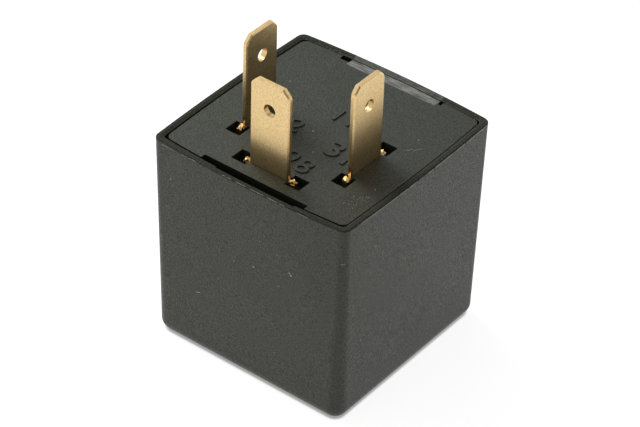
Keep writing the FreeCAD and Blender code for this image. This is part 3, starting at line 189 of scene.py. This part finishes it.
# Dust and short scratches: a ray's direction and start, then length, width and tilt in degrees.
FRONT_WALL = (0, 1, 0)
SIDE_WALL = (-1, 0, 0)
FRONT_CORNER = (-1, 1, 0)
DOWN = (0, 0, -1)
WALL_FLAKES = (
    (FRONT_WALL, (-13.4, -20, 22.1), 0.16, 0.14, 0),
    (FRONT_WALL, (-12.6, -20, 27.0), 0.55, 0.1, 80),
    (FRONT_WALL, (1.5, -20, 19.7), 0.22, 0.2, 0),
    (FRONT_WALL, (7.35, -20, 21.7), 0.4, 0.12, -40),
    (FRONT_WALL, (7.6, -20, 21.4), 0.3, 0.22, 0),
    (FRONT_WALL, (5.6, -20, 18.6), 0.18, 0.14, 30),
    (FRONT_WALL, (-8.1, -20, 10.2), 1.0, 0.07, 18),
    (FRONT_WALL, (-1.8, -20, 19.0), 0.16, 0.12, 60),
    (FRONT_WALL, (5.4, -20, 23.7), 0.16, 0.12, 0),
    (FRONT_WALL, (2.5, -20, 24.5), 0.12, 0.1, 0),
    (FRONT_WALL, (4.9, -20, 6.8), 0.14, 0.12, 0),
    (FRONT_WALL, (-4.5, -20, 14.6), 0.12, 0.1, 0),
    (SIDE_WALL, (20, -11.3, 12.1), 0.14, 0.12, 0),
    (SIDE_WALL, (20, -9.2, 26.4), 0.3, 0.12, -60),
    (SIDE_WALL, (20, 2.4, 17.0), 0.12, 0.1, 0),
    (FRONT_CORNER, (25.7, -25.7, 26.9), 0.8, 0.08, 4),
)
PLATE_FLAKES = (
    (DOWN, (13.1, -6.0, 40), 0.22, 0.16, 0),
    (DOWN, (11.0, 6.1, 40), 0.24, 0.14, 40),
    (DOWN, (-0.7, -1.2, 40), 0.26, 0.18, 0),
    (DOWN, (2.1, -4.8, 40), 0.2, 0.16, 0),
    (DOWN, (-10.0, 5.6, 40), 0.2, 0.14, 0),
    (DOWN, (12.2, 4.4, 40), 1.4, 0.05, 64),
    (DOWN, (11.4, 3.6, 40), 1.1, 0.05, 58),
)
# A patch of fine dust: its middle, its reach both ways, and how many flakes.
DUST_CLUSTER = ((12.6, -9.3), (1.0, 1.8), 22)
CLUSTER_LENGTH = (0.06, 0.15)
CLUSTER_WIDTH = 0.08
ABOVE_PLATE = 40
FLAKE_THICKNESS = 0.03
FLAKE_RAGGEDNESS = 0.25
DUST_SEED = 11

# Pale flakes that paint a highlight line along the can's upper outer edges: a ray's direction,
# where the middle one starts, how far they run both ways, how many flakes, and their width.
EDGE_HIGHLIGHT_RUNS = (
    ((-1, 0, 0), (20, 1.0, 32.07), (0, 13.5), 90, 0.1),
    ((0, 1, -1), (-1.0, -20, 36.1), (13.5, 0), 24, 0.04),
)
EDGE_HIGHLIGHT_LENGTH = (0.2, 1.6)
EDGE_HIGHLIGHT_SEED = 23

SPRING_CUT_START = 11.2
SPRING_CUT_STEP = 0.2
SPRING_CUTS = 39
CUT_TOLERANCE = 1e-7

COIL_BORE_RADIUS = 2.75
COIL_CROWN = 0.25
COIL_COLUMNS = 96
WIRE_PITCH = 0.26
ROWS_PER_TURN = 8

# Both resistors and the diode lie along Y.
RESISTOR_PLACES = ((12.12, 6.73), (-3.28, -6.63))
RESISTOR_BANDS = (("brown_band", 0.4), ("black_band", 0.0), ("red_band", -0.4))
RESISTOR_BAND = (0.75, 0.24)
DIODE_BAND_PLACES = ((12.12, 0.1),)
DIODE_BAND = (0.95, 0.5)
BAND_LIP = 0.01
BAND_ROOT = 0.05
BAND_COLUMNS = 48


class Nodes:
    """A node tree, with short calls for the nodes used here.

    An input is named, or numbered where the node repeats a name. Its value may be a socket.
    """

    def __init__(self, tree):
        self.tree = tree

    def node(self, kind, inputs=None, **settings):
        made = self.tree.nodes.new(kind)
        for key, value in settings.items():
            setattr(made, key, value)
        for key, value in (inputs or {}).items():
            self.plug(made.inputs[key], value)
        return made

    def plug(self, socket, value):
        if isinstance(value, bpy.types.NodeSocket):
            self.tree.links.new(value, socket)
        else:
            socket.default_value = value

    def ramp(self, value, low, high, at_low=0.0, at_high=1.0):
        """A straight line between both ends, and level beyond them."""
        made = self.node("ShaderNodeMapRange", {"Value": value, "From Min": low, "From Max": high,
                                                "To Min": at_low, "To Max": at_high})
        return made.outputs["Result"]

    def maths(self, operation, first, second):
        made = self.node("ShaderNodeMath", {0: first, 1: second}, operation=operation)
        return made.outputs["Value"]


class Shader(Nodes):
    """One material's nodes. Texture places are in millimetres."""

    def __init__(self, name, colour, roughness, metallic=0.0):
        self.material = bpy.data.materials.new(name)
        self.material.use_nodes = True
        super().__init__(self.material.node_tree)
        self.surface = self.tree.nodes["Principled BSDF"]
        self.feed("Base Color", (*colour, 1))
        self.feed("Roughness", roughness)
        self.feed("Metallic", metallic)
        self.place = self.stretched((1, 1, 1))
        self.normal = None

    def feed(self, name, value):
        self.plug(self.surface.inputs[name], value)

    def stretched(self, scale):
        """Object coordinates in millimetres, each axis multiplied by its scale."""
        coordinates = self.node("ShaderNodeTexCoord")
        mapping = self.node("ShaderNodeMapping", {"Vector": coordinates.outputs["Object"],
                                                  "Scale": [value / MM for value in scale]})
        return mapping.outputs["Vector"]

    def noise(self, scale, detail=3.0, roughness=0.5, place=None):
        made = self.node("ShaderNodeTexNoise", {"Vector": place or self.place, "Scale": scale,
                                                "Detail": detail, "Roughness": roughness})
        return made.outputs["Fac"]

    def cells(self, scale):
        made = self.node("ShaderNodeTexVoronoi", {"Vector": self.place, "Scale": scale})
        return made.outputs["Distance"]

    def blend(self, factor, first, second):
        """A colour between first and second; each is a colour or a socket."""
        colours = [value if isinstance(value, bpy.types.NodeSocket) else (*value, 1)
                   for value in (first, second)]
        made = self.node("ShaderNodeMix", {0: factor}, data_type="RGBA")
        self.plug(made.inputs[6], colours[0])
        self.plug(made.inputs[7], colours[1])
        return made.outputs[2]

    def bump(self, height, depth):
        """Adds a relief of that depth, in millimetres, on top of the reliefs so far."""
        inputs = {"Height": height, "Distance": depth * MM}
        if self.normal:
            inputs["Normal"] = self.normal
        self.normal = self.node("ShaderNodeBump", inputs).outputs["Normal"]
        self.feed("Normal", self.normal)


def inside_box(shader, low, high):
    """1 within the box from low to high, in millimetres, and 0 outside."""
    split = shader.node("ShaderNodeSeparateXYZ", {"Vector": shader.place})
    inside = 1.0
    for axis, start, end in zip("XYZ", low, high):
        place = split.outputs[axis]
        after_start = shader.ramp(place, start - BOX_FADE, start + BOX_FADE)
        inside = shader.maths("MULTIPLY", inside, after_start)
        before_end = shader.ramp(place, end + BOX_FADE, end - BOX_FADE)
        inside = shader.maths("MULTIPLY", inside, before_end)
    return inside


def scuffed(shader, low, high, strength):
    """How worn a place is: rubbed streaks along X within the box from low to high."""
    along_x = shader.stretched((0.5, 4.0, 4.0))
    rubbed = shader.noise(scale=1.0, detail=5, roughness=0.7, place=along_x)
    streaks = shader.ramp(rubbed, 0.36, 0.64, 0.05, strength)
    return shader.maths("MULTIPLY", streaks, inside_box(shader, low, high))


def moulded_plastic(name, dark, pale, roughness, sheen, scuffs=(), matt=()):
    """Black moulding with an eroded grain, a few specks of dust, rubbed places and matt ones."""
    shader = Shader(name, dark, roughness)
    shader.feed("Specular Tint", (*sheen, 1))
    grain = shader.ramp(shader.noise(scale=4.8, detail=2, roughness=0.8), 0.38, 0.62)
    grained = shader.blend(grain, dark, pale)
    speck = shader.ramp(shader.cells(1.1), 0.05, 0.03)
    dusty = shader.ramp(shader.noise(scale=0.6, detail=2), 0.6, 0.64)
    worn = shader.maths("MULTIPLY", speck, dusty)
    for low, high, strength in scuffs:
        worn = shader.maths("MAXIMUM", worn, scuffed(shader, low, high, strength))
    shader.feed("Base Color", shader.blend(worn, grained, DUST))
    finish = shader.ramp(grain, 0, 1, roughness + GRAIN_CONTRAST, roughness - GRAIN_CONTRAST)
    for low, high, added in matt:
        rougher = shader.maths("MULTIPLY", inside_box(shader, low, high), added)
        finish = shader.maths("ADD", finish, rougher)
    shader.feed("Roughness", finish)
    shader.bump(shader.noise(scale=3.2, detail=4, roughness=0.7), depth=0.09)
    shader.bump(shader.noise(scale=0.12, detail=1), depth=0.1)
    return shader.material


def rolled_brass(name, colour, dull, roughness):
    """Rolled brass: fine dull speckle, and a tarnished cast in places."""
    shader = Shader(name, colour, roughness, metallic=1.0)
    cast = shader.ramp(shader.noise(scale=0.35, detail=4), 0.35, 0.75, 0.0, 0.35)
    fine = shader.noise(scale=3.6, detail=2, roughness=0.7)
    spots = shader.ramp(fine, 0.35, 0.65, 0.0, 0.7)
    shader.feed("Base Color", shader.blend(shader.maths("MAXIMUM", cast, spots), colour, dull))
    broad = shader.noise(scale=1.2, detail=1)
    shader.feed("Roughness", shader.ramp(broad, 0.3, 0.7, roughness, roughness + 0.04))
    return shader.material


def plain_metal(name, colour, dull, roughness, grain):
    """A plated or drawn metal: mottled finish and fine relief at that grain."""
    shader = Shader(name, colour, roughness, metallic=1.0)
    mottle = shader.ramp(shader.noise(grain * 0.3, detail=4), 0.35, 0.7)
    shader.feed("Base Color", shader.blend(mottle, colour, dull))
    fine = shader.noise(grain, detail=4)
    shader.feed("Roughness", shader.ramp(fine, 0.3, 0.7, roughness - 0.08, roughness + 0.1))
    shader.bump(shader.noise(grain * 2, detail=4), depth=0.01)
    return shader.material


def satin_polymer(name, colour, shade, roughness, grain=4.0):
    """Moulded or dipped plastic, rubber or lacquer with a soft mottling."""
    shader = Shader(name, colour, roughness)
    mottle = shader.ramp(shader.noise(grain * 0.2, detail=3), 0.35, 0.7)
    shader.feed("Base Color", shader.blend(mottle, colour, shade))
    fine = shader.noise(grain, detail=3)
    shader.feed("Roughness", shader.ramp(fine, 0.3, 0.7, roughness - 0.05, roughness + 0.08))
    shader.bump(shader.noise(grain * 2, detail=4), depth=0.01)
    return shader.material


def can_plastic():
    return moulded_plastic("can_plastic", (0.0, 0.0005, 0.0), (0.017, 0.018, 0.008), 0.45,
                           CAN_SHEEN, [BACK_RIM_SCUFF], [MATT_RIM])


def base_plastic():
    return moulded_plastic("base_plastic", (0.0, 0.0005, 0.0), (0.010, 0.011, 0.006), 0.49,
                           PLATE_SHEEN, [BACK_LEDGE_SCUFF])


def materials():
    """A material for each of the record's slots, and the few that only details here use."""
    made = {"can_plastic": can_plastic(), "base_plastic": base_plastic()}
    for kind, rows in ((rolled_brass, BRASSES), (plain_metal, METALS), (satin_polymer, POLYMERS)):
        for row in rows:
            made[row[0]] = kind(*row)
    return made


def give_materials(made):
    """Each CAD node shows the material of its record slot."""
    for part in frame["record"]["subparts"]:
        node = frame["nodes"][part["node"]]
        for place in range(len(node.data.materials)):
            node.material_slots[place].link = "OBJECT"
            node.material_slots[place].material = made[part["material_slot"]]


def soften_blade_edges():
    """Stamped blades have slightly rounded edges, which catch the light."""
    for name in BLADES:
        soften = frame["nodes"][name].modifiers.new("edges", "BEVEL")
        soften.width = BLADE_EDGE * MM
        soften.segments = 2
        soften.limit_method = "ANGLE"
        soften.angle_limit = math.radians(BLADE_SHARP_ANGLE)


def add_object(name, data):
    made = bpy.data.objects.new(name, data)
    bpy.context.scene.collection.objects.link(made)
    return made


def scale_mesh(mesh, factor):
    bmesh.ops.scale(mesh, vec=(factor, factor, factor), verts=mesh.verts)


def new_piece(name, mesh, material, body, smooth=False):
    """An object from a bmesh in millimetres, riding on that body if one is given."""
    scale_mesh(mesh, MM)
    for face in mesh.faces:
        face.smooth = smooth
    data = bpy.data.meshes.new(name)
    mesh.to_mesh(data)
    mesh.free()
    data.materials.append(material)
    piece = add_object(name, data)
    if body:
        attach(piece, body)
    return piece


def place_digit(name, text, x, y, height, width, material):
    """A raised digit moulded on the plate, its top towards +Y."""
    curve = bpy.data.curves.new(name, "FONT")
    curve.body = text
    curve.align_x = "CENTER"
    curve.align_y = "CENTER"
    curve.size = height * FONT_SIZE_PER_HEIGHT * MM
    curve.extrude = DIGIT_HALF_THICKNESS * MM
    curve.bevel_depth = DIGIT_EDGE * MM
    curve.bevel_resolution = 1
    outline = add_object(name + "_outline", curve)
    bpy.context.view_layer.update()
    data = bpy.data.meshes.new_from_object(outline)
    bpy.data.objects.remove(outline)
    data.name = name
    data.materials.clear()
    data.materials.append(material)
    piece = add_object(name, data)
    piece.scale = (width, 1, 1)
    piece.location = Vector((x, y, PLATE_TOP + DIGIT_MIDDLE)) * MM
    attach(piece, "housing")


def make_digits(material):
    """Plain raised digits where the plate has its moulded markings."""
    for name, text, x, y, height, width in DIGITS:
        place_digit(name, text, x, y, height, width, material)


def stake_lump(mesh, x, y, size, draws):
    """One burr of metal spread by the staking punch."""
    made = bmesh.ops.create_icosphere(mesh, subdivisions=2, radius=0.5)
    for vertex in made["verts"]:
        vertex.co *= 1 + draws.uniform(-LUMP_RAGGEDNESS, LUMP_RAGGEDNESS)
        vertex.co *= Vector(size)
        vertex.co += Vector((x, y, PLATE_TOP - LUMP_DEPTH))


def make_stake_lumps(material):
    """The burrs at both ends of each blade, in the corners of the plate's pockets."""
    draws = random.Random(LUMP_SEED)
    across, along, high_up = LUMP_SIZE
    for name in BLADES:
        low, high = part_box(name)
        x, y = (low.x + high.x) / 2 / MM, (low.y + high.y) / 2 / MM
        turned = high.y - low.y > high.x - low.x
        mesh = bmesh.new()
        for side in (-1, 1):
            shift = side * (BLADE_WIDTH / 2 + LUMP_GAP)
            if turned:
                stake_lump(mesh, x, y + shift, (across, along, high_up), draws)
            else:
                stake_lump(mesh, x + shift, y, (along, across, high_up), draws)
        piece_name = name.replace("terminal", "stake_lumps")
        new_piece(piece_name, mesh, material, "housing")


def add_flake(mesh, node, flake, draws, along=None):
    """A ragged flake, half sunk into the first surface of the node that its ray meets."""
    direction, start, length, width, tilt = flake
    direction = Vector(direction).normalized()
    met, place, normal, _ = node.ray_cast(Vector(start) * MM, direction)
    if not met:
        return
    lengthwise = along or Vector((0, 0, 1)).cross(normal)
    if lengthwise.length < 0.1:
        lengthwise = Vector((1, 0, 0))
    lengthwise = (lengthwise - normal * lengthwise.dot(normal)).normalized()
    turn = Matrix((lengthwise, normal.cross(lengthwise), normal)).transposed().to_4x4()
    turn = turn @ Matrix.Rotation(math.radians(tilt), 4, "Z")
    made = bmesh.ops.create_icosphere(mesh, subdivisions=2, radius=0.5)
    for vertex in made["verts"]:
        ragged = vertex.co * (1 + draws.uniform(-FLAKE_RAGGEDNESS, FLAKE_RAGGEDNESS))
        vertex.co = turn @ (ragged * Vector((length, width, FLAKE_THICKNESS))) + place / MM


def make_can_dust(material, draws):
    mesh = bmesh.new()
    for flake in WALL_FLAKES:
        add_flake(mesh, frame["nodes"]["cover"], flake, draws)
    new_piece("can_dust", mesh, material, "housing")


def make_plate_dust(material, draws):
    mesh = bmesh.new()
    (x, y), (reach_x, reach_y), count = DUST_CLUSTER
    cluster = []
    for _ in range(count):
        place = (x + draws.uniform(-reach_x, reach_x), y + draws.uniform(-reach_y, reach_y),
                 ABOVE_PLATE)
        length = draws.uniform(*CLUSTER_LENGTH)
        cluster.append((DOWN, place, length, CLUSTER_WIDTH, draws.uniform(0, 180)))
    for flake in (*PLATE_FLAKES, *cluster):
        add_flake(mesh, frame["nodes"]["base"], flake, draws)
    new_piece("plate_dust", mesh, material, "housing")


def make_dust(material):
    """The flakes and scratches that the photograph shows on the can and the plate."""
    draws = random.Random(DUST_SEED)
    make_can_dust(material, draws)
    make_plate_dust(material, draws)


def make_painted_edge_highlights(material):
    """Pale flakes that paint a highlight line along the can's upper outer edges, kept within the
    can's width.
    """
    draws = random.Random(EDGE_HIGHLIGHT_SEED)
    mesh = bmesh.new()
    for direction, middle, reach, count, width in EDGE_HIGHLIGHT_RUNS:
        run = Vector((*reach, 0))
        for _ in range(count):
            start = Vector(middle) + run * draws.uniform(-1, 1)
            flake = (direction, start, draws.uniform(*EDGE_HIGHLIGHT_LENGTH), width, 0)
            add_flake(mesh, frame["nodes"]["cover"], flake, draws, run.normalized())
    for vertex in mesh.verts:
        vertex.co.x = min(vertex.co.x, cad_bounds[1].x / MM)
    new_piece("painted_edge_highlights", mesh, material, "housing")


def rounding_at(height):
    """How far the rounding of the can's closed end stands out from its corner's axis."""
    rise = CAN_END_FILLET - height
    return CAN_END_RADIUS - CAN_END_FILLET + math.sqrt(max(0.0, CAN_END_FILLET ** 2 - rise ** 2))


def lay_lips_down(mesh):
    """Moves what stands out of the rounding of the can's closed end onto it."""
    flat = [vertex.co for vertex in mesh.verts if vertex.co.z < FLAT_END]
    inset = CAN_END_RADIUS - CAN_END_FILLET
    centre_x = max(place.x for place in flat) - inset
    centre_y = max(place.y for place in flat) - inset
    touched = set()
    for vertex in mesh.verts:
        if vertex.co.z > CAN_LIP_TOP:
            continue
        middle = Vector((max(-centre_x, min(centre_x, vertex.co.x)),
                         max(-centre_y, min(centre_y, vertex.co.y))))
        out = vertex.co.xy - middle
        rounding = rounding_at(vertex.co.z)
        if out.length > rounding + LIP_TOLERANCE:
            vertex.co.xy = middle + out.normalized() * rounding
            touched.update(end for edge in vertex.link_edges for end in edge.verts)
    # A set has no fixed order, and each run has to join the same points.
    in_order = [vertex for vertex in mesh.verts if vertex in touched]
    bmesh.ops.remove_doubles(mesh, verts=in_order, dist=MERGE_DISTANCE)
    bmesh.ops.dissolve_degenerate(mesh, dist=SLIVER, edges=mesh.edges)


def make_can(material):
    """The can as packed, without the lips that its corner ribs leave on its closed end."""
    mesh = bmesh.new()
    mesh.from_mesh(frame["nodes"]["cover"].data)
    scale_mesh(mesh, 1 / MM)
    lay_lips_down(mesh)
    piece = new_piece("can", mesh, material, "housing", smooth=True)
    piece.data.set_sharp_from_angle(angle=math.radians(CAN_SHARP_ANGLE))
    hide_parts("cover")


def make_hinge_spring(material):
    """The spring leaf, cut fine enough to flex between the yoke and the armature."""
    mesh = bmesh.new()
    mesh.from_mesh(frame["nodes"]["hinge_spring"].data)
    for step in range(1, SPRING_CUTS + 1):
        level = (SPRING_CUT_START + step * SPRING_CUT_STEP) * MM
        everything = mesh.verts[:] + mesh.edges[:] + mesh.faces[:]
        bmesh.ops.bisect_plane(mesh, geom=everything, dist=CUT_TOLERANCE,
                               plane_co=(0, 0, level), plane_no=(0, 0, 1))
    scale_mesh(mesh, 1 / MM)
    piece = new_piece("spring_leaf", mesh, material, None)
    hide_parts("hinge_spring")
    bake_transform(piece)


def add_lathed(mesh, outline_at, axis, centre, around):
    """A closed solid turned about Z or Y from the (radius, along) points at each angle."""
    columns = []
    for step in range(around):
        angle = step / around * 2 * math.pi
        column = []
        for radius, along in outline_at(angle):
            first, second = radius * math.cos(angle), radius * math.sin(angle)
            place = (first, second, along) if axis == "Z" else (second, along, first)
            column.append(mesh.verts.new(Vector(place) + Vector(centre)))
        columns.append(column)
    rows = len(columns[0])
    for step, column in enumerate(columns):
        ahead = columns[(step + 1) % around]
        for row in range(rows):
            above = (row + 1) % rows
            mesh.faces.new((column[row], ahead[row], ahead[above], column[above]))
    bmesh.ops.recalc_face_normals(mesh, faces=mesh.faces)


def wire_outline(outer, height, angle):
    """The coil's section at that angle: a groove between the turns, and rounded end turns."""
    points = [(COIL_BORE_RADIUS, height), (COIL_BORE_RADIUS, 0)]
    rows = int(height / WIRE_PITCH) * ROWS_PER_TURN
    for row in range(rows + 1):
        along = height * row / rows
        across = (along / WIRE_PITCH + angle / (2 * math.pi)) % 1 * 2 - 1
        groove = WIRE_PITCH / 2 * (1 - math.sqrt(max(0.0, 1 - across * across)))
        to_end = min(along, height - along)
        rounding = COIL_CROWN * max(0.0, 1 - to_end / (2 * COIL_CROWN))
        points.append((outer - groove - rounding, along))
    return points


def make_winding(material):
    """The coil with its turns of wire showing, in place of the plain ring."""
    low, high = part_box("coil_winding")
    centre = ((low.x + high.x) / 2 / MM, (low.y + high.y) / 2 / MM, low.z / MM)
    outer = (high.x - low.x) / 2 / MM
    height = (high.z - low.z) / MM
    mesh = bmesh.new()
    add_lathed(mesh, lambda angle: wire_outline(outer, height, angle), "Z", centre, COIL_COLUMNS)
    piece = new_piece("wire_turns", mesh, material, "housing", smooth=True)
    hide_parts("coil_winding")


def make_bands(name, node, places, band, material):
    """Thin painted rings round small components that lie along Y; a band is (radius, width)."""
    low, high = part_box(node)
    radius, width = band
    root, lip, end = radius - BAND_ROOT, radius + BAND_LIP, width / 2
    outline = [(root, -end), (radius, -end), (lip, BAND_LIP - end),
               (lip, end - BAND_LIP), (radius, end), (root, end)]
    mesh = bmesh.new()
    for x, y in places:
        centre = (x, y, (low.z + high.z) / 2 / MM)
        add_lathed(mesh, lambda angle: outline, "Y", centre, BAND_COLUMNS)
    new_piece(name, mesh, material, "housing", smooth=True)


def make_component_bands(made):
    """Colour rings on both resistors and the pale ring on the diode."""
    for name, offset in RESISTOR_BANDS:
        places = [(x, y + offset) for x, y in RESISTOR_PLACES]
        make_bands("resistor_" + name, "resistors", places, RESISTOR_BAND, made[name])
    make_bands("diode_pale_band", "diode", DIODE_BAND_PLACES, DIODE_BAND, made["pale_band"])


def make_camera():
    camera = add_object("camera", bpy.data.cameras.new("camera"))
    turn = Matrix.Rotation(math.radians(CAMERA_AZIMUTH), 4, "Z")
    turn @= Matrix.Rotation(math.radians(90 - CAMERA_ELEVATION), 4, "X")
    turn @= Matrix.Rotation(math.radians(CAMERA_ROLL), 4, "Z")
    target = Matrix.Translation(Vector(CAMERA_TARGET) * MM)
    camera.matrix_world = target @ turn @ Matrix.Translation((0, 0, CAMERA_DISTANCE * MM))
    camera.data.lens = LENS_MM
    camera.data.sensor_fit = "HORIZONTAL"
    camera.data.sensor_width = SENSOR_MM
    camera.data.clip_start = 0.01
    bpy.context.scene.camera = camera


def seen_ray(nodes):
    """1 for rays from the camera, a mirror or glass, which see the white background."""
    path = nodes.node("ShaderNodeLightPath")
    seen = nodes.maths("MAXIMUM", path.outputs["Is Camera Ray"], path.outputs["Is Glossy Ray"])
    return nodes.maths("MAXIMUM", seen, path.outputs["Is Transmission Ray"])


def sky_lobe(nodes, direction, towards, source, target):
    """Light that grows as the direction nears the middle of the lobe."""
    cosine = nodes.node("ShaderNodeVectorMath", {0: direction, 1: Vector(towards).normalized()},
                        operation="DOT_PRODUCT")
    return nodes.ramp(cosine.outputs["Value"], *source, *target)


def make_world():
    """A white horizon under a sky that is bright towards the key lamp and dim away from it."""
    world = bpy.data.worlds.new("studio")
    bpy.context.scene.world = world
    world.use_nodes = True
    nodes = Nodes(world.node_tree)
    direction = nodes.node("ShaderNodeTexCoord").outputs["Generated"]
    sky = sky_lobe(nodes, direction, *SKY_LOBES[0])
    for lobe in SKY_LOBES[1:]:
        sky = nodes.maths("MAXIMUM", sky, sky_lobe(nodes, direction, *lobe))
    height = nodes.node("ShaderNodeSeparateXYZ", {0: direction}).outputs["Z"]
    above = nodes.ramp(height, *HORIZON_BAND)
    light = nodes.node("ShaderNodeMix", {0: above, 2: 1.0, 3: sky})
    background = world.node_tree.nodes["Background"]
    nodes.plug(background.inputs["Strength"], light.outputs[0])
    nodes.plug(background.inputs["Color"], (1, 1, 1, 1))


def floor_paper():
    """White paper, which the camera sees as white with a painted contact shadow, a dark line where
    the can stands on it.
    """
    material = bpy.data.materials.new("floor")
    material.use_nodes = True
    nodes = Nodes(material.node_tree)
    own = material.node_tree.nodes
    own.remove(own["Principled BSDF"])
    paper = nodes.node("ShaderNodeBsdfDiffuse", {"Color": (*[PAPER_GREY] * 3, 1)})
    shaded = nodes.node("ShaderNodeBsdfDiffuse", {"Color": (*[SEEN_FLOOR_GREY] * 3, 1)})
    open_sky = nodes.node("ShaderNodeAmbientOcclusion", {"Distance": CONTACT_REACH * MM}, samples=8)
    # Painted shadow: the glow dims where the can closes off the sky close by.
    strength = nodes.ramp(open_sky.outputs["AO"], *PAINTED_CONTACT_SHADE)
    glow = nodes.node("ShaderNodeEmission", {"Strength": strength})
    seen = nodes.node("ShaderNodeAddShader", {0: shaded.outputs[0], 1: glow.outputs[0]})
    either = nodes.node("ShaderNodeMixShader",
                        {0: seen_ray(nodes), 1: paper.outputs[0], 2: seen.outputs[0]})
    nodes.plug(own["Material Output"].inputs["Surface"], either.outputs[0])
    return material


def make_floor():
    mesh = bmesh.new()
    bmesh.ops.create_grid(mesh, x_segments=1, y_segments=1, size=FLOOR_HALF)
    data = bpy.data.meshes.new("floor")
    mesh.to_mesh(data)
    mesh.free()
    data.materials.append(floor_paper())
    floor = add_object("floor", data)


def make_key_lamp():
    lamp = bpy.data.lights.new("key", "AREA")
    lamp.shape = "SQUARE"
    lamp.size = KEY_SIZE
    lamp.energy = KEY_POWER
    holder = add_object("key", lamp)
    holder.location = KEY_PLACE
    aim = Vector(KEY_AIM) - Vector(KEY_PLACE)
    holder.rotation_euler = aim.to_track_quat("-Z", "Y").to_euler()


def make_studio():
    make_camera()
    make_world()
    make_floor()
    make_key_lamp()
    bpy.context.scene.view_settings.view_transform = "Standard"


finishes = materials()
give_materials(finishes)
soften_blade_edges()
make_digits(finishes["base_plastic"])
make_stake_lumps(finishes["cut_brass"])
make_dust(finishes["dust"])
# Pale flakes painted along the can's upper edges as a highlight line.
make_painted_edge_highlights(finishes["edge_highlight_plastic"])
# The can follows the dust and the painted edge highlights, whose rays meet the cover that it
# replaces.
make_can(finishes["can_plastic"])
make_hinge_spring(finishes["spring_bronze"])
make_winding(finishes["enamelled_wire"])
make_component_bands(finishes)
make_studio()
